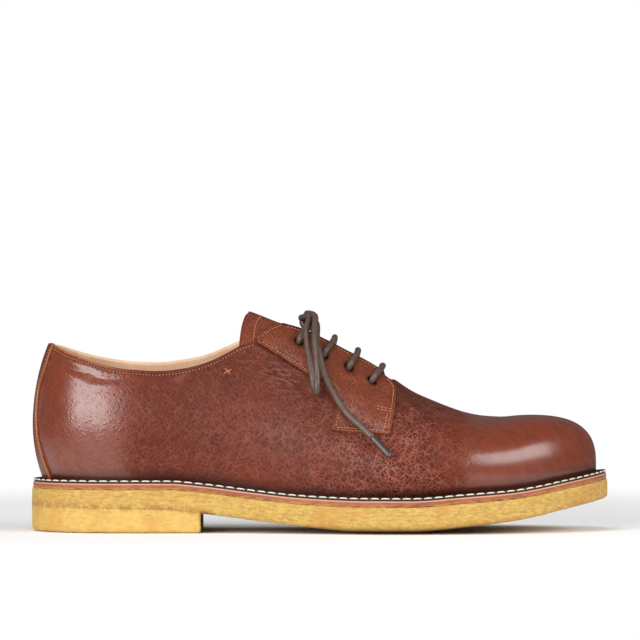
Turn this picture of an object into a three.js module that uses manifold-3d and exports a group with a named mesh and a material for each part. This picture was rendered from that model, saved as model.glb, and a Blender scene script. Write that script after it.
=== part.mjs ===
// A plain-toe derby shoe for the right foot, standing empty on its crepe sole.
// Millimetres. +X points to the toe, +Y to the inner side of the foot and +Z up.
// The origin is on the floor, under the middle of the sole.
import * as THREE from "three";
import { mergeVertices } from "three/addons/utils/BufferGeometryUtils.js";
import Module from "manifold-3d";

const wasm = await Module();
wasm.setup();

// Sole sizes
const soleLength = 298;
const soleWidth = 109;
const heelHeight = 25.2; // floor to the top of the midsole, at the back
const heelLength = 88; // back of the sole to the heel's breast
const crepeThickness = 10.9;
const midsoleThickness = 3.1;
const weltThickness = 1.5;
const insoleThickness = 3;
const toeSpring = 12.6; // rise of the midsole's top from the ball to the tip
const soleCrown = 3; // how far the middle of the forefoot's underside lies below its edge
const crepeFlare = 0.6; // the crepe stands out past the midsole
const weltSetback = 0.4; // the welt's edge lies inside the midsole's edge
const edgeRounding = 1.3;

// Upper sizes
const weltMargin = 7.5; // sole's edge to the foot of the upper, at the back
const wallBulge = 5.7; // how far the wall swells past its foot, at the back
const bulgeHeight = 29.5; // midsole to the widest line of the back
const toeHeight = 59.8; // floor to the top of the toe box
const instepHeight = 106.5; // floor to the ridge at the top eyelets
const backHeight = 96.3; // floor to the collar at the back seam
const innerCollarRaise = 3.8; // the inner collar dips less
const wall = 2.2; // leather and lining
const facingThickness = 1.5;
const strapThickness = 1.2;
const tongueThickness = 2;
const throatWidth = 20.5;
const throatRounding = 7;
const gap = 0.3; // between pieces that lie on each other

// Lace sizes
const laceDiameter = 3.2;
const eyeletDiameter = 4.5;
const knotDiameter = 9.6;
const knotLength = 8.4;
const agletDiameter = 3.4;
const knotLift = -0.9; // the knot's middle above the other bars' height
const eyeletClimb = 2; // straight stretch of the lace above an eyelet
const barSag = 2.2; // how far a bar dips over the tongue

const laceRadius = laceDiameter / 2;
const eyeletRadius = eyeletDiameter / 2;
const ballHeight = soleCrown + crepeThickness + midsoleThickness;
const barLift = gap + facingThickness + gap + laceRadius;
const alongToX = (along) => (along - 0.5) * soleLength;
const xToAlong = (x) => x / soleLength + 0.5;

// Outline of the sole seen from above. along: share of the sole's length from the back;
// outer and inner: shares of its width, to each side of the frame's X axis.
const outline = [
  { along: 0.03, outer: 0.184, inner: 0.248 },
  { along: 0.097, outer: 0.303, inner: 0.358 },
  { along: 0.181, outer: 0.326, inner: 0.376 },
  { along: 0.299, outer: 0.322, inner: 0.349 },
  { along: 0.399, outer: 0.353, inner: 0.33 },
  { along: 0.5, outer: 0.43, inner: 0.367 },
  { along: 0.611, outer: 0.5, inner: 0.456 },
  { along: 0.695, outer: 0.491, inner: 0.5 },
  { along: 0.785, outer: 0.448, inner: 0.493 },
  { along: 0.869, outer: 0.36, inner: 0.45 },
  { along: 0.936, outer: 0.232, inner: 0.36 },
  { along: 0.978, outer: 0.098, inner: 0.245 },
];
const heelTip = 0.037;
const toeTip = 0.083;

// The midsole's top and the underside. heel: share of the heel's rise over the ball;
// toe: share of the toe spring; crown: share of the sole's crown; crepe: share of its thickness.
const soleLine = [
  { along: 0, heel: 1, toe: 0, crown: 0, crepe: 0.84 },
  { along: 0.24, heel: 1, toe: 0, crown: 0, crepe: 0.94 },
  { along: 0.295, heel: 0.84, toe: 0, crown: 0, crepe: 1 },
  { along: 0.388, heel: 0.43, toe: 0, crown: 0, crepe: 1 },
  { along: 0.441, heel: 0.22, toe: 0, crown: 0.2, crepe: 1 },
  { along: 0.493, heel: 0.09, toe: 0, crown: 0.6, crepe: 1 },
  { along: 0.568, heel: 0, toe: 0, crown: 1, crepe: 1 },
  { along: 0.658, heel: 0, toe: 0, crown: 1, crepe: 1 },
  { along: 0.745, heel: 0, toe: 0.143, crown: 0.75, crepe: 1.02 },
  { along: 0.829, heel: 0, toe: 0.295, crown: 0.35, crepe: 1.01 },
  { along: 0.872, heel: 0, toe: 0.44, crown: 0.2, crepe: 0.98 },
  { along: 0.916, heel: 0, toe: 0.64, crown: 0, crepe: 0.95 },
  { along: 1, heel: 0, toe: 1, crown: 0, crepe: 0.9 },
];

// Sections of the upper. margin: share of the welt margin; outer and inner: shares of the bulge;
// rise: share of the bulge's height; fullness: exponent of the section's arch;
// ridge: share of the sole's width by which the ridge lies inwards.
const sections = [
  { along: 0, margin: 1, outer: 1, inner: 1, rise: 1, fullness: 1.9, ridge: 0.032 },
  { along: 0.05, margin: 0.8, outer: 0.8, inner: 0.8, rise: 0.97, fullness: 1.87, ridge: 0.032 },
  { along: 0.16, margin: 0.7, outer: 0.55, inner: 0.5, rise: 0.88, fullness: 1.83, ridge: 0.033 },
  { along: 0.3, margin: 0.62, outer: 0.38, inner: 0.32, rise: 0.76, fullness: 1.8, ridge: 0.035 },
  { along: 0.4, margin: 0.6, outer: 0.3, inner: 0.4, rise: 0.7, fullness: 1.75, ridge: 0.038 },
  { along: 0.464, margin: 0.64, outer: 0.36, inner: 0.7, rise: 0.68, fullness: 1.68, ridge: 0.041 },
  { along: 0.507, margin: 0.7, outer: 0.42, inner: 0.85, rise: 0.66, fullness: 1.6, ridge: 0.041 },
  { along: 0.55, margin: 0.78, outer: 0.55, inner: 0.85, rise: 0.6, fullness: 1.55, ridge: 0.04 },
  { along: 0.59, margin: 0.86, outer: 0.7, inner: 0.85, rise: 0.55, fullness: 1.55, ridge: 0.04 },
  { along: 0.64, margin: 0.92, outer: 0.84, inner: 0.86, rise: 0.5, fullness: 1.75, ridge: 0.04 },
  { along: 0.69, margin: 0.93, outer: 0.86, inner: 0.86, rise: 0.47, fullness: 2, ridge: 0.045 },
  { along: 0.754, margin: 0.92, outer: 0.7, inner: 0.7, rise: 0.42, fullness: 2.2, ridge: 0.052 },
  { along: 0.815, margin: 0.9, outer: 0.5, inner: 0.5, rise: 0.36, fullness: 2.4, ridge: 0.06 },
  { along: 0.87, margin: 0.87, outer: 0.34, inner: 0.34, rise: 0.3, fullness: 2.6, ridge: 0.064 },
  { along: 1, margin: 0.85, outer: 0.09, inner: 0.09, rise: 0.14, fullness: 2.8, ridge: 0.064 },
];

// Height of the ridge. crown: share of the way from the toe's height to the instep's.
const ridgeLine = [
  { along: 0, crown: 1.299 },
  { along: 0.3, crown: 1.299 },
  { along: 0.377, crown: 1.196 },
  { along: 0.433, crown: 1.063 },
  { along: 0.464, crown: 1.003 },
  { along: 0.5, crown: 0.899 },
  { along: 0.544, crown: 0.749 },
  { along: 0.59, crown: 0.579 },
  { along: 0.624, crown: 0.413 },
  { along: 0.66, crown: 0.258 },
  { along: 0.691, crown: 0.164 },
  { along: 0.721, crown: 0.087 },
  { along: 0.754, crown: 0.018 },
  { along: 0.785, crown: -0.018 },
  { along: 0.815, crown: -0.029 },
  { along: 0.845, crown: -0.013 },
  { along: 0.875, crown: -0.005 },
  { along: 1, crown: 0.003 },
];
const heelCentre = 0.118; // along: the heel's rays fan out from here
const toeCentre = 0.859; // along: the toe's rays fan out from here

// Collar, from the back seam to the top corner of the facing. up: share of the back's height;
// inner: share of the inner collar's raise.
const collarLine = [
  { along: -0.02, up: 1, inner: 0 },
  { along: 0.031, up: 1, inner: 0 },
  { along: 0.066, up: 0.957, inner: 0.33 },
  { along: 0.1, up: 0.922, inner: 0.43 },
  { along: 0.134, up: 0.89, inner: 0.71 },
  { along: 0.168, up: 0.872, inner: 0.83 },
  { along: 0.22, up: 0.862, inner: 0.93 },
  { along: 0.271, up: 0.879, inner: 1 },
  { along: 0.306, up: 0.909, inner: 0.92 },
  { along: 0.34, up: 0.959, inner: 0.78 },
  { along: 0.363, up: 0.998, inner: 0.6 },
  { along: 0.39, up: 1.026, inner: 0.4 },
  { along: 0.4, up: 1.053, inner: 0.3 },
  { along: 0.414, up: 1.08, inner: 0.2 },
  { along: 0.431, up: 1.097, inner: 0.1 },
  { along: 0.448, up: 1.107, inner: 0 },
  { along: 0.47, up: 1.197, inner: 0 },
];

// Side view of the facing below the throat. up: share of the height of the ridge at the top eyelets.
const facingOutline = [
  { along: 0.391, up: 0.9196 },
  { along: 0.424, up: 0.8622 },
  { along: 0.455, up: 0.8081 },
  { along: 0.478, up: 0.7688 },
  { along: 0.509, up: 0.7369 },
  { along: 0.521, up: 0.7084 },
  { along: 0.5295, up: 0.6559 },
  { along: 0.5305, up: 0.6181 },
  { along: 0.527, up: 0.5705 },
  { along: 0.5195, up: 0.4983 },
  { along: 0.619, up: 0.4822 },
  { along: 0.627, up: 0.5829 },
  { along: 0.6314, up: 0.6828 },
  { along: 0.6297, up: 0.7048 },
  { along: 0.622, up: 0.7307 },
  { along: 0.6114, up: 0.7532 },
];
// Front edge of the back strap in the side view. back: share of the sole's length from the
// heel's tip; up: share of the back's height.
const strapEdge = [
  { up: 0.203, back: 0.043 },
  { up: 0.276, back: 0.0366 },
  { up: 0.411, back: 0.0211 },
  { up: 0.52, back: 0.0131 },
  { up: 0.614, back: 0.0114 },
  { up: 0.736, back: 0.0141 },
  { up: 0.92, back: 0.0319 },
  { up: 1.095, back: 0.05 },
];
// Rear edge of the tongue in the side view, in the same shares.
const tongueEdge = [
  { up: 0.711, back: 0.357 },
  { up: 0.999, back: 0.362 },
  { up: 1.088, back: 0.366 },
  { up: 1.143, back: 0.3715 },
  { up: 1.168, back: 0.378 },
  { up: 1.307, back: 0.385 },
];
const tongueSide = 0.56; // rise of the section at which the tongue's side edges lie
const tongueFront = 0.665; // along

// Eyelets. reach: share of the sole's width, across from the ridge as seen from above;
// advance: share of the sole's length by which the lace runs forwards on its way up to the ridge.
const eyelets = [
  { along: 0.4628, reach: 0.1776, advance: 0.0134 },
  { along: 0.5047, reach: 0.1996, advance: 0.0185 },
  { along: 0.5483, reach: 0.2069, advance: 0.0151 },
  { along: 0.5879, reach: 0.2289, advance: 0.0168 },
];

// Routes of the lace beyond its knot. rise: of the section; lift: of the lace's middle above
// the upper, in lace diameters.
const loopRoute = [
  { along: 0.4712, rise: 0.88, lift: 2.7 },
  { along: 0.4688, rise: 0.789, lift: 2.85 },
  { along: 0.4718, rise: 0.715, lift: 2.85 },
  { along: 0.4778, rise: 0.659, lift: 2.55 },
  { along: 0.4838, rise: 0.608, lift: 2.1 },
  { along: 0.4886, rise: 0.572, lift: 1.7 },
  { along: 0.4914, rise: 0.553, lift: 1.8 },
  { along: 0.4932, rise: 0.54, lift: 2.5 },
  { along: 0.4938, rise: 0.538, lift: 3.4 },
  { along: 0.4934, rise: 0.552, lift: 4 },
  { along: 0.4913, rise: 0.58, lift: 4.3 },
  { along: 0.487, rise: 0.63, lift: 4.35 },
  { along: 0.482, rise: 0.689, lift: 4.35 },
  { along: 0.4785, rise: 0.767, lift: 4 },
  { along: 0.4775, rise: 0.86, lift: 3.6 },
];
const endRoute = [
  { along: 0.4862, rise: 0.855, lift: 2.15 },
  { along: 0.4875, rise: 0.752, lift: 2.4 },
  { along: 0.493, rise: 0.7, lift: 2.35 },
  { along: 0.501, rise: 0.65, lift: 1.9 },
  { along: 0.5115, rise: 0.608, lift: 1.45 },
  { along: 0.524, rise: 0.569, lift: 1.35 },
  { along: 0.5436, rise: 0.523, lift: 1.35 },
  { along: 0.5668, rise: 0.486, lift: 1.35 },
  { along: 0.5866, rise: 0.453, lift: 1.3 },
];
const agletRoute = [
  { along: 0.5886, rise: 0.449, lift: 1.3 },
  { along: 0.6208, rise: 0.365, lift: 1.2 },
];

// Mesh counts
const raysPerSide = 40;
const lowerRows = 3;
const upperRows = 7;
const cordSides = 8;
const barSides = 6;
const barSteps = 26;
const loopSteps = 18;
const endSteps = 13;
const agletSteps = 2;

// A smooth curve through one column of a table, which never overshoots its rows.
function through(rows, column, key = "along") {
  const xs = rows.map((row) => row[key]);
  const ys = rows.map((row) => row[column]);
  const last = xs.length - 1;
  const slopes = xs.slice(1).map((x, i) => (ys[i + 1] - ys[i]) / (x - xs[i]));
  const tangents = xs.map((x, i) => {
    if (i === 0 || i === last) return slopes[Math.min(i, last - 1)];
    const [before, after] = [slopes[i - 1], slopes[i]];
    return before * after <= 0 ? 0 : (2 * before * after) / (before + after);
  });
  return (x) => {
    if (x <= xs[0]) return ys[0];
    if (x >= xs[last]) return ys[last];
    let i = 0;
    while (x > xs[i + 1]) i++;
    const span = xs[i + 1] - xs[i];
    const s = (x - xs[i]) / span;
    const rest = 1 - s;
    return (
      rest * rest * ((1 + 2 * s) * ys[i] + s * span * tangents[i]) +
      s * s * ((3 - 2 * s) * ys[i + 1] - rest * span * tangents[i + 1])
    );
  };
}
const heelShare = through(soleLine, "heel");
const toeShare = through(soleLine, "toe");
const soleCrownShare = through(soleLine, "crown");
const crepeShare = through(soleLine, "crepe");
const marginShare = through(sections, "margin");
const bulgeShare = { outer: through(sections, "outer"), inner: through(sections, "inner") };
const riseShare = through(sections, "rise");
const fullness = through(sections, "fullness");
const ridgeShare = through(sections, "ridge");
const crownShare = through(ridgeLine, "crown");

// Heights along the shoe: the midsole's top, the crepe's lower edge and the upper's ridge.
function seat(x) {
  const along = xToAlong(x);
  return ballHeight + heelShare(along) * (heelHeight - ballHeight) + toeShare(along) * toeSpring;
}
const underEdge = (x) => seat(x) - midsoleThickness - crepeThickness * crepeShare(xToAlong(x));
const crownHeight = (x) => toeHeight + crownShare(xToAlong(x)) * (instepHeight - toeHeight);
const ridgeY = (x) => ridgeShare(xToAlong(x)) * soleWidth;

// The sole's outline as a closed line of points.
function soleOutline() {
  const place = (along, share) => new THREE.Vector3(alongToX(along), share * soleWidth, 0);
  const points = [
    place(0, heelTip),
    ...outline.map((row) => place(row.along, -row.outer)),
    place(1, toeTip),
    ...outline.map((row) => place(row.along, row.inner)).reverse(),
  ];
  return new THREE.CatmullRomCurve3(points, true, "centripetal").getPoints(520);
}
const outlinePoints = soleOutline();

// Distance from an origin to the sole's outline along a level direction.
function reachOfSole(origin, direction) {
  let best = 0;
  for (let i = 0; i + 1 < outlinePoints.length; i++) {
    const a = outlinePoints[i];
    const b = outlinePoints[i + 1];
    const edge = { x: b.x - a.x, y: b.y - a.y };
    const cross = direction.x * edge.y - direction.y * edge.x;
    if (Math.abs(cross) < 1e-12) continue;
    const to = { x: a.x - origin.x, y: a.y - origin.y };
    const distance = (to.x * edge.y - to.y * edge.x) / cross;
    const share = (to.x * direction.y - to.y * direction.x) / cross;
    if (distance > 0 && share >= -1e-9 && share <= 1 + 1e-9) best = Math.max(best, distance);
  }
  return best;
}

// Level rays from the ridge line to the sole's edge. turn runs from 0 at the back seam to 1 at
// the toe on the outer side, and on to 2 at the back seam again on the inner side. The rays
// point straight across in the middle and ease into a fan at each end.
const heelFan = { start: 0.76, full: 0.94 };
const toeFan = { start: 0.68, full: 0.9 };
const fanArea = (fan) => (fan.full - fan.start) / 2 + 1 - fan.full;
function fanTurned(fan, s) {
  const ease = fan.full - fan.start;
  const u = Math.min(Math.max((s - fan.start) / ease, 0), 1);
  return (ease * (u ** 3 - u ** 4 / 2) + Math.max(s - fan.full, 0)) / fanArea(fan);
}
function rayAt(turn) {
  const wrapped = ((turn % 2) + 2) % 2;
  const side = wrapped <= 1 ? -1 : 1;
  const s = wrapped <= 1 ? wrapped : 2 - wrapped;
  const heelTurned = fanTurned(heelFan, 1 - s);
  const toeTurned = fanTurned(toeFan, s);
  const straight = 1 - fanArea(heelFan) - fanArea(toeFan);
  const travelled = s - fanArea(heelFan) * (1 - heelTurned) - fanArea(toeFan) * toeTurned;
  const x = alongToX(heelCentre + (travelled / straight) * (toeCentre - heelCentre));
  const angle = (Math.PI / 2) * (1 - heelTurned + toeTurned);
  return rayFrom({ x, y: ridgeY(x) }, { x: -Math.cos(angle), y: side * Math.sin(angle) });
}
function rayFrom(origin, direction) {
  const sole = reachOfSole(origin, direction);
  const along = xToAlong(origin.x + direction.x * sole);
  const side = direction.y < 0 ? "outer" : "inner";
  const foot = sole - weltMargin * marginShare(along);
  const bulge = foot + wallBulge * bulgeShare[side](along);
  const low = seat(origin.x + direction.x * foot) + gap;
  const widest = low + bulgeHeight * riseShare(along);
  const top = crownHeight(origin.x);
  return { origin, direction, sole, foot, bulge, low, widest, top, power: fullness(along) };
}
function rayPoint(ray, reach, height) {
  return new THREE.Vector3(
    ray.origin.x + ray.direction.x * reach,
    ray.origin.y + ray.direction.y * reach,
    height,
  );
}

// Point on the outside of the upper. rise: 0 at its foot, lowerPart at the widest line, 1 at the ridge.
const lowerPart = 0.28;
function skinPoint(ray, rise) {
  if (rise < lowerPart) {
    const down = 1 - rise / lowerPart;
    const reach = ray.bulge - (ray.bulge - ray.foot) * down * down;
    return rayPoint(ray, reach, ray.widest - (ray.widest - ray.low) * down);
  }
  const angle = ((Math.min(rise, 1) - lowerPart) / (1 - lowerPart)) * (Math.PI / 2);
  const reach = ray.bulge * Math.max(Math.cos(angle), 0) ** (2 / ray.power);
  return rayPoint(ray, reach, ray.widest + (ray.top - ray.widest) * Math.sin(angle) ** (2 / ray.power));
}
// The same point moved out of the surface by an offset, or into it by a negative one.
function skinOffset(turn, rise, offset) {
  const ray = rayAt(turn);
  const point = skinPoint(ray, rise);
  if (rise > 0.999) {
    const slope = (crownHeight(ray.origin.x + 1) - crownHeight(ray.origin.x - 1)) / 2;
    return point.addScaledVector(new THREE.Vector3(-slope, 0, 1).normalize(), offset);
  }
  const step = 0.004;
  const around = skinPoint(rayAt(turn + step), rise).sub(skinPoint(rayAt(turn - step), rise));
  const low = skinPoint(ray, Math.max(rise - step, 0));
  const upwards = skinPoint(ray, Math.min(rise + step, 0.9995)).sub(low);
  return point.addScaledVector(around.cross(upwards).normalize(), offset);
}
// Height of the upper's outside over a place given by x and the distance across from the ridge.
function skinHeight(x, across) {
  const ray = rayFrom({ x, y: ridgeY(x) }, { x: 0, y: across < 0 ? -1 : 1 });
  const share = Math.min(Math.abs(across) / ray.bulge, 0.9995);
  return ray.widest + (ray.top - ray.widest) * (1 - share ** ray.power) ** (1 / ray.power);
}
function skinNormal(x, across) {
  const step = 0.4;
  const slopeX = (skinHeight(x + step, across) - skinHeight(x - step, across)) / (2 * step);
  const slopeY = (skinHeight(x, across + step) - skinHeight(x, across - step)) / (2 * step);
  return new THREE.Vector3(-slopeX, -slopeY, 1).normalize();
}
function liftedPoint(x, across, lift) {
  const foot = new THREE.Vector3(x, ridgeY(x) + across, skinHeight(x, across));
  return foot.addScaledVector(skinNormal(x, across), lift);
}
// A point lifted off one side of the upper, over a place given by x and the rise of the section.
function sidePoint(x, side, rise, lift) {
  const sign = side === "outer" ? -1 : 1;
  const at = (px, pr) => skinPoint(rayFrom({ x: px, y: ridgeY(px) }, { x: 0, y: sign }), pr);
  const along = at(x + 0.5, rise).sub(at(x - 0.5, rise));
  const upwards = at(x, Math.min(rise + 0.004, 0.9995)).sub(at(x, rise - 0.004));
  const normal = along.cross(upwards).multiplyScalar(-sign).normalize();
  return at(x, rise).addScaledVector(normal, lift);
}

// Closed geometry from points and triangles, with equal points merged and flat triangles dropped.
function geometryOf(points, triangles) {
  const raw = new THREE.BufferGeometry();
  const numbers = points.flatMap((point) => [point.x, point.y, point.z]);
  raw.setAttribute("position", new THREE.Float32BufferAttribute(numbers, 3));
  raw.setIndex(triangles.flat());
  const merged = mergeVertices(raw, 1e-3);
  const index = Array.from(merged.index.array);
  const kept = [];
  for (let i = 0; i < index.length; i += 3) {
    const [a, b, c] = index.slice(i, i + 3);
    if (a !== b && b !== c && a !== c) kept.push(a, b, c);
  }
  merged.setIndex(kept);
  return merged;
}
function solidOf(geometry) {
  const bare = geometry.clone();
  bare.deleteAttribute("normal");
  bare.deleteAttribute("uv");
  const merged = mergeVertices(bare, 1e-3);
  const mesh = new wasm.Mesh({
    numProp: 3,
    vertProperties: new Float32Array(merged.attributes.position.array),
    triVerts: new Uint32Array(merged.index.array),
  });
  return new wasm.Manifold(mesh);
}
function geometryFrom(solid) {
  const mesh = solid.getMesh();
  const geometry = new THREE.BufferGeometry();
  geometry.setAttribute("position", new THREE.BufferAttribute(mesh.vertProperties, 3));
  geometry.setIndex(new THREE.BufferAttribute(mesh.triVerts, 1));
  return geometry;
}
const subtractAll = (solid, cutters) => cutters.reduce((left, cutter) => left.subtract(cutter), solid);

// Triangles of a grid of points; wrap joins the last row to the first.
function gridTriangles(rows, columns, { offset = 0, wrap = false, flip = false }) {
  const triangles = [];
  const at = (i, j) => offset + (i % rows) * columns + j;
  for (let i = 0; i < (wrap ? rows : rows - 1); i++) {
    for (let j = 0; j + 1 < columns; j++) {
      const [a, b, c, d] = [at(i, j), at(i + 1, j), at(i + 1, j + 1), at(i, j + 1)];
      if (flip) triangles.push([a, c, b], [a, d, c]);
      else triangles.push([a, b, c], [a, c, d]);
    }
  }
  return triangles;
}
// A sheet with thickness, from its outer and inner grids. A wrapped sheet closes around the
// shoe, and its two halves meet along the ridge.
function thickSheet(outside, inside, wrap = false) {
  const rows = outside.length;
  const columns = outside[0].length;
  const back = rows * columns;
  const triangles = [
    ...gridTriangles(rows, columns, { wrap }),
    ...gridTriangles(rows, columns, { offset: back, wrap, flip: true }),
  ];
  const at = (i, j) => (i % rows) * columns + j;
  const rim = (a, b) => triangles.push([b, a, a + back], [b, a + back, b + back]);
  for (let i = 0; i < (wrap ? rows : rows - 1); i++) {
    rim(at(i, 0), at(i + 1, 0));
    if (!wrap) rim(at(i + 1, columns - 1), at(i, columns - 1));
  }
  for (let j = 0; j + 1 < columns && !wrap; j++) {
    rim(at(0, j + 1), at(0, j));
    rim(at(rows - 1, j), at(rows - 1, j + 1));
  }
  return geometryOf([...outside.flat(), ...inside.flat()], triangles);
}

// Turns and rises at which every layer has its points.
const turns = Array.from({ length: 2 * raysPerSide }, (unused, i) => i / raysPerSide);
const rises = [
  ...Array.from({ length: lowerRows }, (unused, i) => (lowerPart * i) / lowerRows),
  ...Array.from({ length: upperRows + 1 }, (unused, i) => lowerPart + ((1 - lowerPart) * i) / upperRows),
];

// A block cut straight across the shoe: a side view, as x and z, pushed from one y to another.
function block(sideView, fromY, toY) {
  const shape = new THREE.Shape(sideView.map(([x, z]) => new THREE.Vector2(x, z)));
  const geometry = new THREE.ExtrudeGeometry(shape, { depth: toY - fromY, bevelEnabled: false });
  geometry.rotateX(Math.PI / 2);
  geometry.translate(0, toY, 0);
  return solidOf(geometry);
}
const farSide = soleWidth;
const overhead = backHeight * 2;
const sideRange = (side) => (side === "outer" ? [-farSide, ridgeY(0)] : [ridgeY(0), farSide]);
const collarRange = (side) => (side === "outer" ? [-farSide, ridgeY(0) + gap] : [ridgeY(0), farSide]);

// Layers of the sole. rows: from the middle of its top over its edge to the middle of its
// underside; each gives a point for a ray.
function soleLayer(rows) {
  const points = turns.flatMap((turn) => rows.map((row) => row(rayAt(turn), turn)));
  return geometryOf(points, gridTriangles(turns.length, rows.length, { wrap: true, flip: true }));
}
// A row at a reach along the rays, and a row on the upper's wall moved by an offset.
const onRay = (reach, height) => (ray) => {
  const out = reach(ray);
  return rayPoint(ray, out, height(ray.origin.x + ray.direction.x * out, out / ray.sole));
};
const onWall = (offset, height) => (ray, turn) => {
  const level = height(rayPoint(ray, ray.foot, 0).x);
  const low = skinOffset(turn, rises[0], offset);
  const high = skinOffset(turn, rises[1], offset);
  return low.lerp(high, (level - low.z) / (high.z - low.z));
};
const middle = () => 0;
const soleEdge = (ray) => ray.sole;
const roundedEdge = (ray) => ray.sole - edgeRounding;
const midsoleEdge = (ray) => ray.sole - crepeFlare;
const weltEdge = (ray) => midsoleEdge(ray) - weltSetback;

// The underside is level in the middle and turns up towards the edge of the forefoot.
const levelShare = 0.5;
function underside(x, share) {
  const out = Math.min(Math.max((share - levelShare) / (1 - levelShare), 0), 1);
  return underEdge(x) - soleCrown * soleCrownShare(xToAlong(x)) * (1 - out * out);
}
function outsoleGeometry() {
  const top = (x) => seat(x) - midsoleThickness - gap;
  return soleLayer([
    onRay(middle, top),
    onRay(midsoleEdge, top),
    onRay(soleEdge, (x) => top(x) - 2 * edgeRounding),
    onRay(soleEdge, (x) => underEdge(x) + edgeRounding),
    onRay(roundedEdge, underEdge),
    onRay((ray) => ray.sole * 0.78, underside),
    onRay((ray) => ray.sole * levelShare, underside),
    onRay(middle, underside),
  ]);
}
// The heel lift lies under the outsole and ends straight at the breast.
function heelLiftGeometry() {
  const top = (x) => underEdge(x) - gap;
  const whole = soleLayer([
    onRay(middle, top),
    onRay(roundedEdge, top),
    onRay(soleEdge, (x) => top(x) - edgeRounding),
    onRay(soleEdge, () => edgeRounding / 2),
    onRay((ray) => ray.sole - edgeRounding / 2, middle),
    onRay(middle, middle),
  ]);
  const breast = alongToX(0) + heelLength;
  const front = [
    [breast, -heelHeight],
    [alongToX(1.1), -heelHeight],
    [alongToX(1.1), heelHeight * 2],
    [breast, heelHeight * 2],
  ];
  return geometryFrom(solidOf(whole).subtract(block(front, -farSide, farSide)));
}
function midsoleGeometry() {
  const bottom = (x) => seat(x) - midsoleThickness;
  return soleLayer([
    onRay(middle, seat),
    onRay(midsoleEdge, seat),
    onRay(midsoleEdge, bottom),
    onRay(middle, bottom),
  ]);
}
// The welt is a ring around the foot of the upper.
function weltGeometry() {
  const bottom = (x) => seat(x) + gap;
  const top = (x) => bottom(x) + weltThickness;
  const corners = [onWall(gap, top), onRay(weltEdge, top), onRay(weltEdge, bottom), onWall(gap, bottom)];
  return soleLayer([...corners, corners[0]]);
}
function insoleGeometry() {
  const bottom = (x) => seat(x) + gap;
  const top = (x) => bottom(x) + insoleThickness;
  return soleLayer([
    onRay(middle, top),
    onWall(-wall - gap, top),
    onWall(-wall - gap, bottom),
    onRay(middle, bottom),
  ]);
}

// Cutters of the upper
function collarCutter(side) {
  const heights = through(collarLine, "up");
  const raises = through(collarLine, "inner");
  const line = [];
  const first = collarLine[0].along;
  const last = collarLine[collarLine.length - 1].along;
  const steps = 40;
  for (let i = 0; i <= steps; i++) {
    const along = first + ((last - first) * i) / steps;
    const raise = side === "inner" ? raises(along) * innerCollarRaise : 0;
    line.push([alongToX(along), heights(along) * backHeight + raise]);
  }
  const sideView = [...line, [alongToX(last), overhead], [alongToX(first), overhead]];
  return block(sideView, ...collarRange(side));
}
function throatCutter() {
  const end = alongToX(facingOutline[facingOutline.length - 3].along) - gap;
  const shape = new THREE.Shape();
  const half = throatWidth / 2;
  const y = ridgeY(0);
  const rear = alongToX(collarLine[collarLine.length - 7].along);
  shape.moveTo(rear, y - half);
  shape.lineTo(end - throatRounding, y - half);
  shape.quadraticCurveTo(end, y - half, end, y);
  shape.quadraticCurveTo(end, y + half, end - throatRounding, y + half);
  shape.lineTo(rear, y + half);
  const settings = { depth: overhead, bevelEnabled: false, curveSegments: 6 };
  const geometry = new THREE.ExtrudeGeometry(shape, settings);
  geometry.translate(0, 0, toeHeight);
  return solidOf(geometry);
}
function eyeletCutter(eyelet, side) {
  const x = alongToX(eyelet.along);
  const across = (side === "outer" ? -eyelet.reach : eyelet.reach) * soleWidth;
  const normal = skinNormal(x, across);
  const depth = 3 * (wall + facingThickness);
  const geometry = new THREE.CylinderGeometry(eyeletRadius, eyeletRadius, depth, 12);
  geometry.applyQuaternion(new THREE.Quaternion().setFromUnitVectors(new THREE.Vector3(0, 1, 0), normal));
  const centre = liftedPoint(x, across, 0);
  geometry.translate(centre.x, centre.y, centre.z);
  return solidOf(geometry);
}
const collarCutters = { outer: collarCutter("outer"), inner: collarCutter("inner") };
const throat = throatCutter();
const eyeletCutters = {
  outer: eyelets.map((eyelet) => eyeletCutter(eyelet, "outer")),
  inner: eyelets.map((eyelet) => eyeletCutter(eyelet, "inner")),
};

function upperGeometry() {
  const grid = (offset) => turns.map((turn) => rises.map((rise) => skinOffset(turn, rise, offset)));
  const shell = solidOf(thickSheet(grid(0), grid(-wall), true));
  const cutters = [collarCutters.outer, collarCutters.inner, throat];
  return geometryFrom(subtractAll(shell, [...cutters, ...eyeletCutters.outer, ...eyeletCutters.inner]));
}

// Turns of one side whose rays start between two places along the shoe.
function turnsBetween(side, fromAlong, toAlong) {
  const inside = (turn) => {
    const along = xToAlong(rayAt(turn).origin.x);
    return along >= fromAlong && along <= toAlong;
  };
  const sideTurns = turns.filter((turn) => (side === "outer" ? turn > 0 && turn < 1 : turn > 1));
  return sideTurns.filter(inside);
}

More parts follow.
